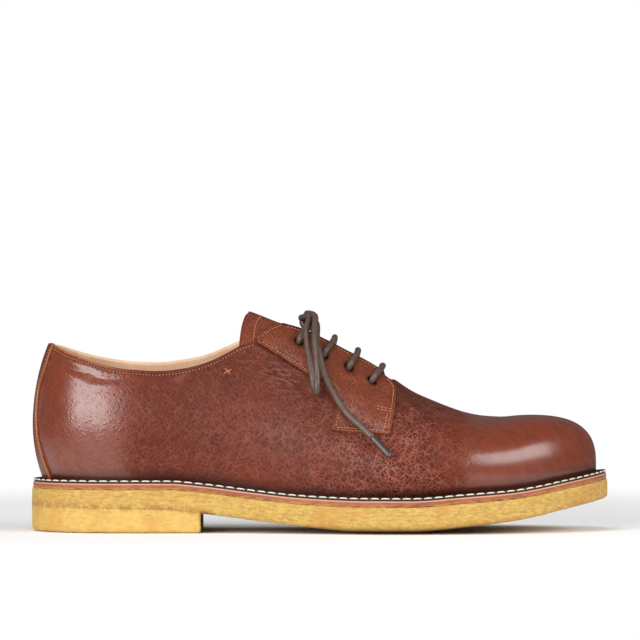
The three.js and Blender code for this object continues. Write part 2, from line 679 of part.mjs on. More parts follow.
function facingGeometry(side) {
  const rows = turnsBetween(side, 0.36, 0.66);
  const columns = rises.filter((rise) => rise > 0.2);
  const grid = (offset) => rows.map((turn) => columns.map((rise) => skinOffset(turn, rise, offset)));
  const sheet = solidOf(thickSheet(grid(gap + facingThickness), grid(gap)));
  const edge = facingOutline.map((row) => [alongToX(row.along), row.up * instepHeight]);
  const [rear, front] = [edge[0][0], edge[edge.length - 1][0]];
  const shape = block([...edge, [front, overhead], [rear, overhead]], ...sideRange(side));
  const cut = subtractAll(sheet.intersect(shape), [collarCutters[side], throat, ...eyeletCutters[side]]);
  return geometryFrom(cut);
}
function strapGeometry() {
  const near = turns.filter((turn) => turn < 0.17);
  const rows = [...near.slice(1).reverse().map((turn) => -turn), ...near];
  const columns = rises.filter((rise) => rise < 0.8);
  const grid = (offset) => rows.map((turn) => columns.map((rise) => skinOffset(turn, rise, offset)));
  const sheet = solidOf(thickSheet(grid(gap + strapThickness), grid(gap)));
  const bottom = seat(alongToX(0)) + 2 * gap + weltThickness;
  const back = through(strapEdge, "back", "up");
  const steps = 18;
  const line = [];
  for (let i = 0; i <= steps; i++) {
    const height = bottom + ((backHeight * 1.05 - bottom) * i) / steps;
    line.push([alongToX(back(height / backHeight)), height]);
  }
  const rear = alongToX(-0.1);
  const shape = block([[rear, bottom], ...line, [rear, line[steps][1]]], -farSide, farSide);
  const cut = subtractAll(sheet.intersect(shape), [collarCutters.outer, collarCutters.inner]);
  return geometryFrom(cut);
}
function tongueGeometry() {
  const rows = turnsBetween("outer", 0.33, tongueFront);
  const half = rises.filter((rise) => rise >= tongueSide);
  const grid = (offset) =>
    rows.map((turn) => [
      ...half.map((rise) => skinOffset(turn, rise, offset)),
      ...half.slice(0, -1).reverse().map((rise) => skinOffset(2 - turn, rise, offset)),
    ]);
  const top = -wall - gap;
  const sheet = solidOf(thickSheet(grid(top), grid(top - tongueThickness)));
  const edge = tongueEdge.map((row) => [alongToX(row.back), row.up * backHeight]);
  const rear = alongToX(0.2);
  const last = edge[edge.length - 1][0];
  const sideView = [[rear, edge[0][1]], ...edge, [last, overhead], [rear, overhead]];
  return geometryFrom(sheet.subtract(block(sideView, -farSide, farSide)));
}

// A round cord along a line of points.
function cordGeometry(points, diameter, steps, sides = cordSides) {
  const corners = Array.from({ length: sides }, (unused, i) => {
    const angle = (i / sides) * 2 * Math.PI;
    return new THREE.Vector2(Math.cos(angle), Math.sin(angle)).multiplyScalar(diameter / 2);
  });
  const extrudePath = new THREE.CatmullRomCurve3(points, false, "centripetal");
  const settings = { steps, extrudePath, bevelEnabled: false };
  return geometryFrom(solidOf(new THREE.ExtrudeGeometry(new THREE.Shape(corners), settings)));
}
function routePoints(route, side) {
  return route.map((row) => sidePoint(alongToX(row.along), side, row.rise, row.lift * laceDiameter));
}
// Middle of the knot, and the place where the lace leaves one of its two faces.
const knotCentre = liftedPoint(alongToX(eyelets[0].along + eyelets[0].advance), 0, barLift + knotLift);
const knotClearance = knotLength / 2 + 0.9;
function knotExit(side, ahead, above) {
  const out = knotClearance + gap;
  const away = new THREE.Vector3(ahead * laceDiameter, side === "outer" ? -out : out, above * laceDiameter);
  return knotCentre.clone().add(away);
}

// A straight bar of the lace, from inside one eyelet over the throat into the other. The top
// bar runs level through the knot.
function barPoints(eyelet, knotted) {
  const half = throatWidth / 2 + gap;
  const reach = eyelet.reach * soleWidth;
  const place = (across, lift) => {
    const share = Math.min(Math.abs(across) / reach, 1);
    return liftedPoint(alongToX(eyelet.along + eyelet.advance * (1 - share * share)), across, lift);
  };
  const bend = barLift - eyeletClimb;
  const halfBar = (sign) => [
    place(sign * reach, -facingThickness),
    place(sign * reach, eyeletClimb),
    place(sign * (reach - 0.3 * bend), eyeletClimb + 0.7 * bend),
    place(sign * (reach - bend), barLift),
    place((sign * (reach + half)) / 2, barLift),
    place(sign * half, barLift),
  ];
  const level = [-1, 0, 1].map((share) => {
    return knotCentre.clone().add(new THREE.Vector3(0, share * knotClearance, 0));
  });
  const centre = knotted ? level : [place(0, barLift - barSag)];
  return [...halfBar(-1), ...centre, ...halfBar(1).reverse()];
}
// The knot is wound around the middle of the top bar.
function knotGeometry() {
  const hole = laceRadius + 2 * gap;
  const outer = knotDiameter / 2;
  const half = knotLength / 2;
  const profile = [
    [hole, -half + 0.9],
    [hole + 0.8, -half],
    [outer - 1, -half + 0.3],
    [outer, -half / 2],
    [outer - 0.5, 0],
    [outer, half / 2],
    [outer - 1, half - 0.3],
    [hole + 0.8, half],
    [hole, half - 0.9],
    [hole, -half + 0.9],
  ];
  const geometry = new THREE.LatheGeometry(profile.map(([r, y]) => new THREE.Vector2(r, y)), 14);
  geometry.translate(knotCentre.x, knotCentre.y, knotCentre.z);
  return geometryFrom(solidOf(geometry));
}
function loopPoints(side) {
  return [knotExit(side, -1.16, 0.62), ...routePoints(loopRoute, side), knotExit(side, -0.25, 1.3)];
}
const endPoints = (side) => [knotExit(side, 1.14, -0.14), ...routePoints(endRoute, side)];

// Materials
const paint = (color, roughness) => new THREE.MeshStandardMaterial({ color, roughness, metalness: 0 });
const materials = {
  upper: paint(0x6d3426, 0.35),
  facing: paint(0x7a3f2c, 0.4),
  tongue: paint(0x6a3427, 0.4),
  insole: paint(0xb98d68, 0.7),
  welt: paint(0x38211c, 0.5),
  midsole: paint(0xb4664c, 0.6),
  crepe: paint(0xdfbb6a, 0.85),
  lace: paint(0x544540, 0.6),
  aglet: paint(0x4a3028, 0.3),
};

const shoe = new THREE.Group();
shoe.name = "derby_shoe";
function addPiece(name, geometry, material) {
  geometry.computeVertexNormals();
  const mesh = new THREE.Mesh(geometry, material);
  mesh.name = name;
  shoe.add(mesh);
}
addPiece("outsole", outsoleGeometry(), materials.crepe);
addPiece("heel_lift", heelLiftGeometry(), materials.crepe);
addPiece("midsole", midsoleGeometry(), materials.midsole);
addPiece("welt", weltGeometry(), materials.welt);
addPiece("insole", insoleGeometry(), materials.insole);
addPiece("upper", upperGeometry(), materials.upper);
addPiece("back_strap", strapGeometry(), materials.facing);
addPiece("tongue", tongueGeometry(), materials.tongue);
eyelets.forEach((eyelet, i) => {
  const geometry = cordGeometry(barPoints(eyelet, i === 0), laceDiameter, barSteps, barSides);
  addPiece(`lace_bar_${i + 1}`, geometry, materials.lace);
});
addPiece("lace_knot", knotGeometry(), materials.lace);
for (const side of ["outer", "inner"]) {
  addPiece(`facing_${side}`, facingGeometry(side), materials.facing);
  addPiece(`lace_loop_${side}`, cordGeometry(loopPoints(side), laceDiameter, loopSteps), materials.lace);
  addPiece(`lace_end_${side}`, cordGeometry(endPoints(side), laceDiameter, endSteps), materials.lace);
  const agletGeometry = cordGeometry(routePoints(agletRoute, side), agletDiameter, agletSteps);
  addPiece(`aglet_${side}`, agletGeometry, materials.aglet);
}
export default shoe;
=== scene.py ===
# A plain-toe derby shoe for the right foot, in grained red-brown leather on a crepe sole.
# Lengths are in millimetres until a mesh is made. +X points to the toe, +Y to the inner
# side of the foot and +Z up.
import math

import bmesh
import bpy
import numpy as np
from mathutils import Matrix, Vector, noise
from mathutils.geometry import delaunay_2d_cdt


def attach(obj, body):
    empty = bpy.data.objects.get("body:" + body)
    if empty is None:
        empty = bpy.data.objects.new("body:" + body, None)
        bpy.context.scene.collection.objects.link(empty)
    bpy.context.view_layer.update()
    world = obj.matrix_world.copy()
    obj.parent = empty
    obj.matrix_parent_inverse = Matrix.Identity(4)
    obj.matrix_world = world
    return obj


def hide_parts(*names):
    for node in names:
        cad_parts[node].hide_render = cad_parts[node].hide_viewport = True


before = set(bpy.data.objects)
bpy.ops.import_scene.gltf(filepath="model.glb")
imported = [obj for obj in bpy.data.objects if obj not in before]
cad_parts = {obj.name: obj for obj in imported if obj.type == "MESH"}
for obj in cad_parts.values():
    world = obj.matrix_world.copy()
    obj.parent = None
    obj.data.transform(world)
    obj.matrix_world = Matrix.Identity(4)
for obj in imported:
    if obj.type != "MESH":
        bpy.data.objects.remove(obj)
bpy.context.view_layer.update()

# Sole sizes
SOLE_LENGTH = 298
SOLE_WIDTH = 109
HEEL_HEIGHT = 25.2
HEEL_LENGTH = 88
CREPE_THICKNESS = 10.9
MIDSOLE_THICKNESS = 3.1
WELT_THICKNESS = 1.5
INSOLE_THICKNESS = 3
TOE_SPRING = 12.6
SOLE_CROWN = 3
CREPE_FLARE = 0.6
WELT_SETBACK = 0.4
LEVEL_SHARE = 0.5

# Upper sizes
WELT_MARGIN = 7.5
WALL_BULGE = 5.7
BULGE_HEIGHT = 29.5
TOE_HEIGHT = 59.8
INSTEP_HEIGHT = 106.5
BACK_HEIGHT = 96.3
INNER_COLLAR_RAISE = 3.8
WALL = 2.2
FACING_THICKNESS = 1.5
STRAP_THICKNESS = 1.2
TONGUE_THICKNESS = 2
THROAT_WIDTH = 20.5
THROAT_ROUNDING = 7
GAP = 0.3
LOWER_PART = 0.28
TONGUE_SIDE = 0.56
TONGUE_FRONT = 0.665

# Lace sizes
LACE = 3.2
EYELET = 4.5
KNOT_DIAMETER = 9.6
KNOT_LENGTH = 8.4
AGLET = 3.4
KNOT_LIFT = -0.9
EYELET_CLIMB = 2
BAR_SAG = 2.2
BAR_LIFT = GAP + FACING_THICKNESS + GAP + LACE / 2

# Outline of the sole from above. Its tips are the places of the two ends across the sole.
HEEL_TIP = 0.037
TOE_TIP = 0.083
HEEL_CENTRE = 0.118
TOE_CENTRE = 0.859
HEEL_FAN = (0.76, 0.94)
TOE_FAN = (0.68, 0.9)

# Outline of the sole: share of its length from the back, and shares of its width to each side.
OUTLINE = [
    (0.03, 0.184, 0.248),
    (0.097, 0.303, 0.358),
    (0.181, 0.326, 0.376),
    (0.299, 0.322, 0.349),
    (0.399, 0.353, 0.33),
    (0.5, 0.43, 0.367),
    (0.611, 0.5, 0.456),
    (0.695, 0.491, 0.5),
    (0.785, 0.448, 0.493),
    (0.869, 0.36, 0.45),
    (0.936, 0.232, 0.36),
    (0.978, 0.098, 0.245),
]
# Along, then shares of the heel's rise, the toe spring, the crown and the crepe's thickness.
SOLE_LINE = [
    (0, 1, 0, 0, 0.84),
    (0.24, 1, 0, 0, 0.94),
    (0.295, 0.84, 0, 0, 1),
    (0.388, 0.43, 0, 0, 1),
    (0.441, 0.22, 0, 0.2, 1),
    (0.493, 0.09, 0, 0.6, 1),
    (0.568, 0, 0, 1, 1),
    (0.658, 0, 0, 1, 1),
    (0.745, 0, 0.143, 0.75, 1.02),
    (0.829, 0, 0.295, 0.35, 1.01),
    (0.872, 0, 0.44, 0.2, 0.98),
    (0.916, 0, 0.64, 0, 0.95),
    (1, 0, 1, 0, 0.9),
]
# Along, welt margin, outer and inner bulge, its height, fullness of the arch, ridge's place.
SECTIONS = [
    (0, 1, 1, 1, 1, 1.9, 0.032),
    (0.05, 0.8, 0.8, 0.8, 0.97, 1.87, 0.032),
    (0.16, 0.7, 0.55, 0.5, 0.88, 1.83, 0.033),
    (0.3, 0.62, 0.38, 0.32, 0.76, 1.8, 0.035),
    (0.4, 0.6, 0.3, 0.4, 0.7, 1.75, 0.038),
    (0.464, 0.64, 0.36, 0.7, 0.68, 1.68, 0.041),
    (0.507, 0.7, 0.42, 0.85, 0.66, 1.6, 0.041),
    (0.55, 0.78, 0.55, 0.85, 0.6, 1.55, 0.04),
    (0.59, 0.86, 0.7, 0.85, 0.55, 1.55, 0.04),
    (0.64, 0.92, 0.84, 0.86, 0.5, 1.75, 0.04),
    (0.69, 0.93, 0.86, 0.86, 0.47, 2, 0.045),
    (0.754, 0.92, 0.7, 0.7, 0.42, 2.2, 0.052),
    (0.815, 0.9, 0.5, 0.5, 0.36, 2.4, 0.06),
    (0.87, 0.87, 0.34, 0.34, 0.3, 2.6, 0.064),
    (1, 0.85, 0.09, 0.09, 0.14, 2.8, 0.064),
]
# Along, and the ridge's height as a share of the way from the toe to the instep.
RIDGE_LINE = [
    (0, 1.299),
    (0.3, 1.299),
    (0.377, 1.196),
    (0.433, 1.063),
    (0.464, 1.003),
    (0.5, 0.899),
    (0.544, 0.749),
    (0.59, 0.579),
    (0.624, 0.413),
    (0.66, 0.258),
    (0.691, 0.164),
    (0.721, 0.087),
    (0.754, 0.018),
    (0.785, -0.018),
    (0.815, -0.029),
    (0.845, -0.013),
    (0.875, -0.005),
    (1, 0.003),
]
# Along, share of the back's height, share of the inner collar's raise.
COLLAR_LINE = [
    (-0.02, 1, 0),
    (0.031, 1, 0),
    (0.066, 0.957, 0.33),
    (0.1, 0.922, 0.43),
    (0.134, 0.89, 0.71),
    (0.168, 0.872, 0.83),
    (0.22, 0.862, 0.93),
    (0.271, 0.879, 1),
    (0.306, 0.909, 0.92),
    (0.34, 0.959, 0.78),
    (0.363, 0.998, 0.6),
    (0.39, 1.026, 0.4),
    (0.4, 1.053, 0.3),
    (0.414, 1.08, 0.2),
    (0.431, 1.097, 0.1),
    (0.448, 1.107, 0),
    (0.47, 1.197, 0),
]
# Side view of the facing below the throat: along, share of the instep's height.
FACING_OUTLINE = [
    (0.391, 0.9196),
    (0.424, 0.8622),
    (0.455, 0.8081),
    (0.478, 0.7688),
    (0.509, 0.7369),
    (0.521, 0.7084),
    (0.5295, 0.6559),
    (0.5305, 0.6181),
    (0.527, 0.5705),
    (0.5195, 0.4983),
    (0.619, 0.4822),
    (0.627, 0.5829),
    (0.6314, 0.6828),
    (0.6297, 0.7048),
    (0.622, 0.7307),
    (0.6114, 0.7532),
]
# Front edge of the back strap: share of the back's height, share of the length from the back.
STRAP_EDGE = [
    (0.203, 0.043),
    (0.276, 0.0366),
    (0.411, 0.0211),
    (0.52, 0.0131),
    (0.614, 0.0114),
    (0.736, 0.0141),
    (0.92, 0.0319),
    (1.095, 0.05),
]
# Rear edge of the tongue, in the same shares.
TONGUE_EDGE = [
    (0.711, 0.357),
    (0.999, 0.362),
    (1.088, 0.366),
    (1.143, 0.3715),
    (1.168, 0.378),
    (1.307, 0.385),
]
# Eyelets: along, share of the width across from the ridge, advance on the way up.
EYELETS = [
    (0.4628, 0.1776, 0.0134),
    (0.5047, 0.1996, 0.0185),
    (0.5483, 0.2069, 0.0151),
    (0.5879, 0.2289, 0.0168),
]
# Routes of the lace beyond its knot: along, rise of the section, lift in lace diameters.
LOOP_ROUTE = [
    (0.4712, 0.88, 2.7),
    (0.4688, 0.789, 2.85),
    (0.4718, 0.715, 2.85),
    (0.4778, 0.659, 2.55),
    (0.4838, 0.608, 2.1),
    (0.4886, 0.572, 1.7),
    (0.4914, 0.553, 1.8),
    (0.4932, 0.54, 2.5),
    (0.4938, 0.538, 3.4),
    (0.4934, 0.552, 4),
    (0.4913, 0.58, 4.3),
    (0.487, 0.63, 4.35),
    (0.482, 0.689, 4.35),
    (0.4785, 0.767, 4),
    (0.4775, 0.86, 3.6),
]
# The same for the lace's end.
END_ROUTE = [
    (0.4862, 0.855, 2.15),
    (0.4875, 0.752, 2.4),
    (0.493, 0.7, 2.35),
    (0.501, 0.65, 1.9),
    (0.5115, 0.608, 1.45),
    (0.524, 0.569, 1.35),
    (0.5436, 0.523, 1.35),
    (0.5668, 0.486, 1.35),
    (0.5866, 0.453, 1.3),
]
# The same for the aglet.
AGLET_ROUTE = [
    (0.5886, 0.449, 1.3),
    (0.6208, 0.365, 1.2),
]

# Share of the sole's length from the back, and millimetres along X
def to_x(along):
    return (np.asarray(along, float) - 0.5) * SOLE_LENGTH


def to_along(x):
    return np.asarray(x, float) / SOLE_LENGTH + 0.5


def through(rows, column):
    """A smooth curve through one column of a table, which never overshoots its rows."""
    xs = np.array([row[0] for row in rows], float)
    ys = np.array([row[column] for row in rows], float)
    slopes = np.diff(ys) / np.diff(xs)
    tangents = np.zeros(len(xs))
    tangents[0], tangents[-1] = slopes[0], slopes[-1]
    for i in range(1, len(xs) - 1):
        before, after = slopes[i - 1], slopes[i]
        if before * after > 0:
            tangents[i] = 2 * before * after / (before + after)

    def value(x):
        x = np.clip(np.asarray(x, float), xs[0], xs[-1])
        i = np.clip(np.searchsorted(xs, x, side="right") - 1, 0, len(xs) - 2)
        span = xs[i + 1] - xs[i]
        s = (x - xs[i]) / span
        rest = 1 - s
        start = rest * rest * ((1 + 2 * s) * ys[i] + s * span * tangents[i])
        end = s * s * ((3 - 2 * s) * ys[i + 1] - rest * span * tangents[i + 1])
        return start + end

    return value


def spline(points, steps, closed=False):
    """A smooth line through points, with that many steps from each point to the next."""
    points = np.asarray(points, float)
    count = len(points)
    before_first = points[-1] if closed else 2 * points[0] - points[1]
    after_last = points[:2] if closed else [2 * points[-1] - points[-2]]
    padded = np.vstack([[before_first], points, after_last])
    line = []
    for i in range(count if closed else count - 1):
        p0, p1, p2, p3 = padded[i : i + 4]
        d0, d1, d2 = (max(np.linalg.norm(b - a) ** 0.5, 1e-4) for a, b in ((p0, p1), (p1, p2), (p2, p3)))
        t1 = ((p1 - p0) / d0 - (p2 - p0) / (d0 + d1) + (p2 - p1) / d1) * d1
        t2 = ((p2 - p1) / d1 - (p3 - p1) / (d1 + d2) + (p3 - p2) / d2) * d1
        s = np.arange(steps)[:, None] / steps
        line.append(
            p1 + s * t1 + s**2 * (-3 * p1 + 3 * p2 - 2 * t1 - t2) + s**3 * (2 * p1 - 2 * p2 + t1 + t2)
        )
    return np.vstack(line + [[points[0] if closed else points[-1]]])


def evenly(line, spacing):
    """Points at an even spacing along a line."""
    line = np.asarray(line, float)
    lengths = np.concatenate([[0], np.cumsum(np.linalg.norm(np.diff(line, axis=0), axis=1))])
    count = max(int(round(lengths[-1] / spacing)), 2)
    at = np.linspace(0, lengths[-1], count + 1)
    return np.stack([np.interp(at, lengths, line[:, k]) for k in range(line.shape[1])], 1)


def unit(vectors):
    return vectors / np.maximum(np.linalg.norm(vectors, axis=-1, keepdims=True), 1e-12)


def eased(x, low, high):
    """0 below low, 1 above high, and a smooth step between them."""
    s = np.clip((x - low) / (high - low), 0, 1)
    return s * s * (3 - 2 * s)


def bell(x, middle, width):
    """1 at the middle, and a smooth fall to 0 on both sides."""
    return np.exp(-(((x - middle) / width) ** 2))


heel_share, toe_share, crown_share_under, crepe_share = (through(SOLE_LINE, k) for k in (1, 2, 3, 4))
margin_share, bulge_outer, bulge_inner, rise_share, fullness, ridge_share = (
    through(SECTIONS, k) for k in (1, 2, 3, 4, 5, 6)
)
ridge_crown = through(RIDGE_LINE, 1)
collar_up, collar_raise = through(COLLAR_LINE, 1), through(COLLAR_LINE, 2)
strap_back = through(STRAP_EDGE, 1)
tongue_back = through(TONGUE_EDGE, 1)
BALL_HEIGHT = SOLE_CROWN + CREPE_THICKNESS + MIDSOLE_THICKNESS


def seat(x):
    """Height of the midsole's top."""
    along = to_along(x)
    return BALL_HEIGHT + heel_share(along) * (HEEL_HEIGHT - BALL_HEIGHT) + toe_share(along) * TOE_SPRING


def under_edge(x):
    """Height of the outsole's lower edge."""
    return seat(x) - MIDSOLE_THICKNESS - CREPE_THICKNESS * crepe_share(to_along(x))


def crown_height(x):
    return TOE_HEIGHT + ridge_crown(to_along(x)) * (INSTEP_HEIGHT - TOE_HEIGHT)


def ridge_y(x):
    return ridge_share(to_along(x)) * SOLE_WIDTH


def sole_outline():
    outer = [(to_x(row[0]), -row[1] * SOLE_WIDTH) for row in OUTLINE]
    inner = [(to_x(row[0]), row[2] * SOLE_WIDTH) for row in reversed(OUTLINE)]
    tips = [(to_x(0), HEEL_TIP * SOLE_WIDTH)], [(to_x(1), TOE_TIP * SOLE_WIDTH)]
    return spline(tips[0] + outer + tips[1] + inner, 20, closed=True)


outline_points = sole_outline()


def sole_reach(x, y, dx, dy):
    """Distance from points to the sole's outline along level directions."""
    x, y, dx, dy = (np.ravel(v)[:, None] for v in (x, y, dx, dy))
    start, edge = outline_points[:-1], np.diff(outline_points, axis=0)
    cross = dx * edge[:, 1] - dy * edge[:, 0]
    cross = np.where(np.abs(cross) < 1e-12, 1e-12, cross)
    to_start_x, to_start_y = start[:, 0] - x, start[:, 1] - y
    distance = (to_start_x * edge[:, 1] - to_start_y * edge[:, 0]) / cross
    share = (to_start_x * dy - to_start_y * dx) / cross
    hit = (distance > 0) & (share >= -1e-9) & (share <= 1 + 1e-9)
    return np.where(hit, distance, 0).max(1)


class Rays:
    """Level rays from the ridge line to the sole's edge, and the upper's section above each."""

    def __init__(self, x, dx, dy):
        self.x, self.dx, self.dy = np.broadcast_arrays(*(np.asarray(v, float) for v in (x, dx, dy)))
        self.y = ridge_y(self.x)
        self.sole = sole_reach(self.x, self.y, self.dx, self.dy).reshape(self.x.shape)
        along = to_along(self.x + self.dx * self.sole)
        swell = np.where(self.dy < 0, bulge_outer(along), bulge_inner(along))
        self.foot = self.sole - WELT_MARGIN * margin_share(along)
        self.bulge = self.foot + WALL_BULGE * swell
        self.low = seat(self.x + self.dx * self.foot) + GAP
        self.widest = self.low + BULGE_HEIGHT * rise_share(along)
        self.top = crown_height(self.x)
        self.power = fullness(along)

    def at(self, reach, height):
        reach, height = np.broadcast_arrays(reach, height)
        return np.stack([self.x + self.dx * reach, self.y + self.dy * reach, height + 0 * self.x], -1)

    def skin(self, rise):
        """Points of the upper's outside. Rise is 0 at its foot and 1 at the ridge."""
        down = 1 - rise / LOWER_PART
        low_reach = self.bulge - (self.bulge - self.foot) * down**2
        low_height = self.widest - (self.widest - self.low) * down
        angle = np.clip((rise - LOWER_PART) / (1 - LOWER_PART), 0, 1) * np.pi / 2
        high_reach = self.bulge * np.maximum(np.cos(angle), 0) ** (2 / self.power)
        high_height = self.widest + (self.top - self.widest) * np.sin(angle) ** (2 / self.power)
        below = rise < LOWER_PART
        return self.at(np.where(below, low_reach, high_reach), np.where(below, low_height, high_height))

    def rise_at_height(self, height):
        low = LOWER_PART * (height - self.low) / (self.widest - self.low)
        share = np.clip((height - self.widest) / (self.top - self.widest), 0, 1)
        angle = np.arcsin(share ** (self.power / 2))
        high = LOWER_PART + (1 - LOWER_PART) * angle / (np.pi / 2)
        return np.where(height < self.widest, np.clip(low, 0, 1), high)

    def rise_at_reach(self, reach):
        """Rise in the upper part at a distance from the ridge."""
        angle = np.arccos(np.clip(reach / self.bulge, 0, 1) ** (self.power / 2))
        return LOWER_PART + (1 - LOWER_PART) * angle / (np.pi / 2)


def fan_area(fan):
    return (fan[1] - fan[0]) / 2 + 1 - fan[1]


def fan_turned(fan, s):
    ease = fan[1] - fan[0]
    u = np.clip((s - fan[0]) / ease, 0, 1)
    return (ease * (u**3 - u**4 / 2) + np.maximum(s - fan[1], 0)) / fan_area(fan)


def rays_at(turn):
    """Rays at turns: 0 at the back seam, 1 at the toe on the outer side, on to 2 on the inner."""
    wrapped = np.mod(np.asarray(turn, float), 2)
    side = np.where(wrapped <= 1, -1, 1)
    s = np.where(wrapped <= 1, wrapped, 2 - wrapped)
    heel, toe = fan_turned(HEEL_FAN, 1 - s), fan_turned(TOE_FAN, s)
    straight = 1 - fan_area(HEEL_FAN) - fan_area(TOE_FAN)
    travelled = s - fan_area(HEEL_FAN) * (1 - heel) - fan_area(TOE_FAN) * toe
    x = to_x(HEEL_CENTRE + travelled / straight * (TOE_CENTRE - HEEL_CENTRE))
    angle = np.pi / 2 * (1 - heel + toe)
    return Rays(x, -np.cos(angle), side * np.sin(angle))


def rays_across(x, side):
    """Rays straight across at places along X, to one side: -1 the outer, 1 the inner."""
    x = np.asarray(x, float)
    return Rays(x, 0 * x, side + 0 * x)


def ridge_normal(rays):
    slope = (crown_height(rays.x + 1) - crown_height(rays.x - 1)) / 2
    return unit(np.stack([-slope, 0 * slope, 1 + 0 * slope], -1))


def skin_at(turn, rise):
    """Points and normals of the upper's outside."""
    turn, rise = np.broadcast_arrays(np.asarray(turn, float), np.asarray(rise, float))
    step = 0.004
    column = turn[:, :1] if turn.ndim == 2 else turn
    rays = rays_at(column)
    points = rays.skin(rise)
    around = rays_at(column + step).skin(rise) - rays_at(column - step).skin(rise)
    upwards = rays.skin(np.minimum(rise + step, 0.9995)) - rays.skin(np.maximum(rise - step, 0))
    level = (rise > 0.997)[..., None]
    normals = np.where(level, ridge_normal(rays) + 0 * points, unit(np.cross(around, upwards)))
    return points, normals


def side_skin(x, rise, side):
    """Points and normals of one side of the upper, at places along X and rises."""
    x, rise = np.broadcast_arrays(np.asarray(x, float), np.asarray(rise, float))
    rays = rays_across(x, side)
    points = rays.skin(rise)
    along = rays_across(x + 0.5, side).skin(rise) - rays_across(x - 0.5, side).skin(rise)
    upwards = rays.skin(np.minimum(rise + 0.004, 0.9995)) - rays.skin(rise - 0.004)
    level = (rise > 0.997)[..., None]
    normals = np.where(level, ridge_normal(rays), unit(np.cross(along, upwards)) * -side)
    return points, normals


def lifted(x, across, lift):
    """A point over the upper: x, distance across from the ridge, height along the normal."""
    side = -1 if across < 0 else 1
    rise = rays_across(x, side).rise_at_reach(abs(across))
    point, normal = side_skin(x, rise, side)
    return point + normal * lift


def side_lifted(route, side):
    """Points of a lace's route: along, rise, lift in lace diameters."""
    along, rise, lift = np.array(route, float).T
    points, normals = side_skin(to_x(along), rise, side)
    return points + normals * (lift * LACE)[:, None]


def collar_height(points, side):
    along = to_along(points[..., 0])
    return collar_up(along) * BACK_HEIGHT + np.where(side > 0, collar_raise(along) * INNER_COLLAR_RAISE, 0)


def collar_rise(rays, drop=0.0):
    """Rise at which each ray's section meets the collar, or 1 where it stays under it."""
    low, high = LOWER_PART + 0 * rays.x, 1 + 0 * rays.x
    side = np.sign(rays.dy)
    for _ in range(26):
        middle = (low + high) / 2
        points = rays.skin(middle)
        over = points[..., 2] > collar_height(points, side) - drop
        low, high = np.where(over, low, middle), np.where(over, middle, high)
    return high


THROAT_END = float(to_x(FACING_OUTLINE[-3][0])) - GAP
THROAT_REAR = float(to_x(COLLAR_LINE[-7][0]))


def throat_half(x):
    """Half the throat's width along X."""
    t = 1 - np.sqrt(np.clip((THROAT_END - x) / THROAT_ROUNDING, 0, 1))
    return np.where((x < THROAT_END) & (x > THROAT_REAR), THROAT_WIDTH / 2 * (1 - t * t), 0)


def throat_rise(rays, margin=0.0):
    """Rise at which each ray's section meets the throat, or 1 where there is none."""
    half = throat_half(rays.x)
    offset = np.where(rays.dy < 0, rays.y - ridge_y(0), ridge_y(0) - rays.y)
    rise = rays.rise_at_reach(np.maximum(half + offset + margin, 0))
    return np.where(half > 0, rise, 1)


# Camera: a long lens from the shoe's outer side, level with its instep
VIEW_WIDTH = 330.8
VIEW_HEIGHT = 108.55
ELEVATION = math.radians(0.6)
DISTANCE = 3000
camera_data = bpy.data.cameras.new("camera")
camera_data.sensor_width = 36
camera_data.lens = 36 * DISTANCE / VIEW_WIDTH
camera_data.clip_end = 100
camera = bpy.data.objects.new("camera", camera_data)
camera.location = Vector((0, -math.cos(ELEVATION), math.sin(ELEVATION))) * DISTANCE * 0.001
camera.location.z += VIEW_HEIGHT * 0.001
camera.rotation_euler = (math.pi / 2 - ELEVATION, 0, 0)
bpy.context.collection.objects.link(camera)
bpy.context.scene.camera = camera
bpy.context.scene.view_settings.view_transform = "Standard"


def softbox(name, place, aim, size, power):
    """A rectangular lamp that points at a place."""
    data = bpy.data.lights.new(name, "AREA")
    data.shape = "RECTANGLE"
    data.size, data.size_y = size
    data.energy = power
    lamp = bpy.data.objects.new(name, data)
    lamp.location = place
    lamp.rotation_euler = (Vector(aim) - Vector(place)).to_track_quat("-Z", "Y").to_euler()
    bpy.context.collection.objects.link(lamp)


# Name, place, what it points at, width and height, all in metres, and power in watts
softbox("light_heel", (-1.09, -1.68, 0.56), (-0.1, 0, 0.06), (1.9, 0.95), 38)
softbox("light_toe", (1.05, -0.65, 0.66), (0.1, 0, 0.04), (0.95, 0.7), 11)
softbox("light_top", (-0.25, -0.55, 1.6), (0, 0, 0.05), (0.9, 0.5), 9)

# The backdrop is white, and lights the shoe less than it shows.
ROOM_LIGHT = 0.36
ROOM_GLOSS = 0.14
world = bpy.data.worlds.new("studio")
world.use_nodes = True
backdrop = world.node_tree.nodes["Background"]
backdrop.inputs["Color"].default_value = (1, 1, 1, 1)
light_path = world.node_tree.nodes.new("ShaderNodeLightPath")
join = world.node_tree.links.new
for_gloss, for_camera = (world.node_tree.nodes.new("ShaderNodeMix") for _ in range(2))
for choice, ray, level in ((for_gloss, "Is Glossy Ray", ROOM_GLOSS), (for_camera, "Is Camera Ray", 1)):
    join(light_path.outputs[ray], choice.inputs["Factor"])
    choice.inputs["B"].default_value = level
for_gloss.inputs["A"].default_value = ROOM_LIGHT
join(for_gloss.outputs["Result"], for_camera.inputs["A"])
join(for_camera.outputs["Result"], backdrop.inputs["Strength"])
bpy.context.scene.world = world


def colour(red, green, blue):
    """A colour as seen on screen, for a shader."""
    return (*(((c / 255 + 0.055) / 1.055) ** 2.4 for c in (red, green, blue)), 1)


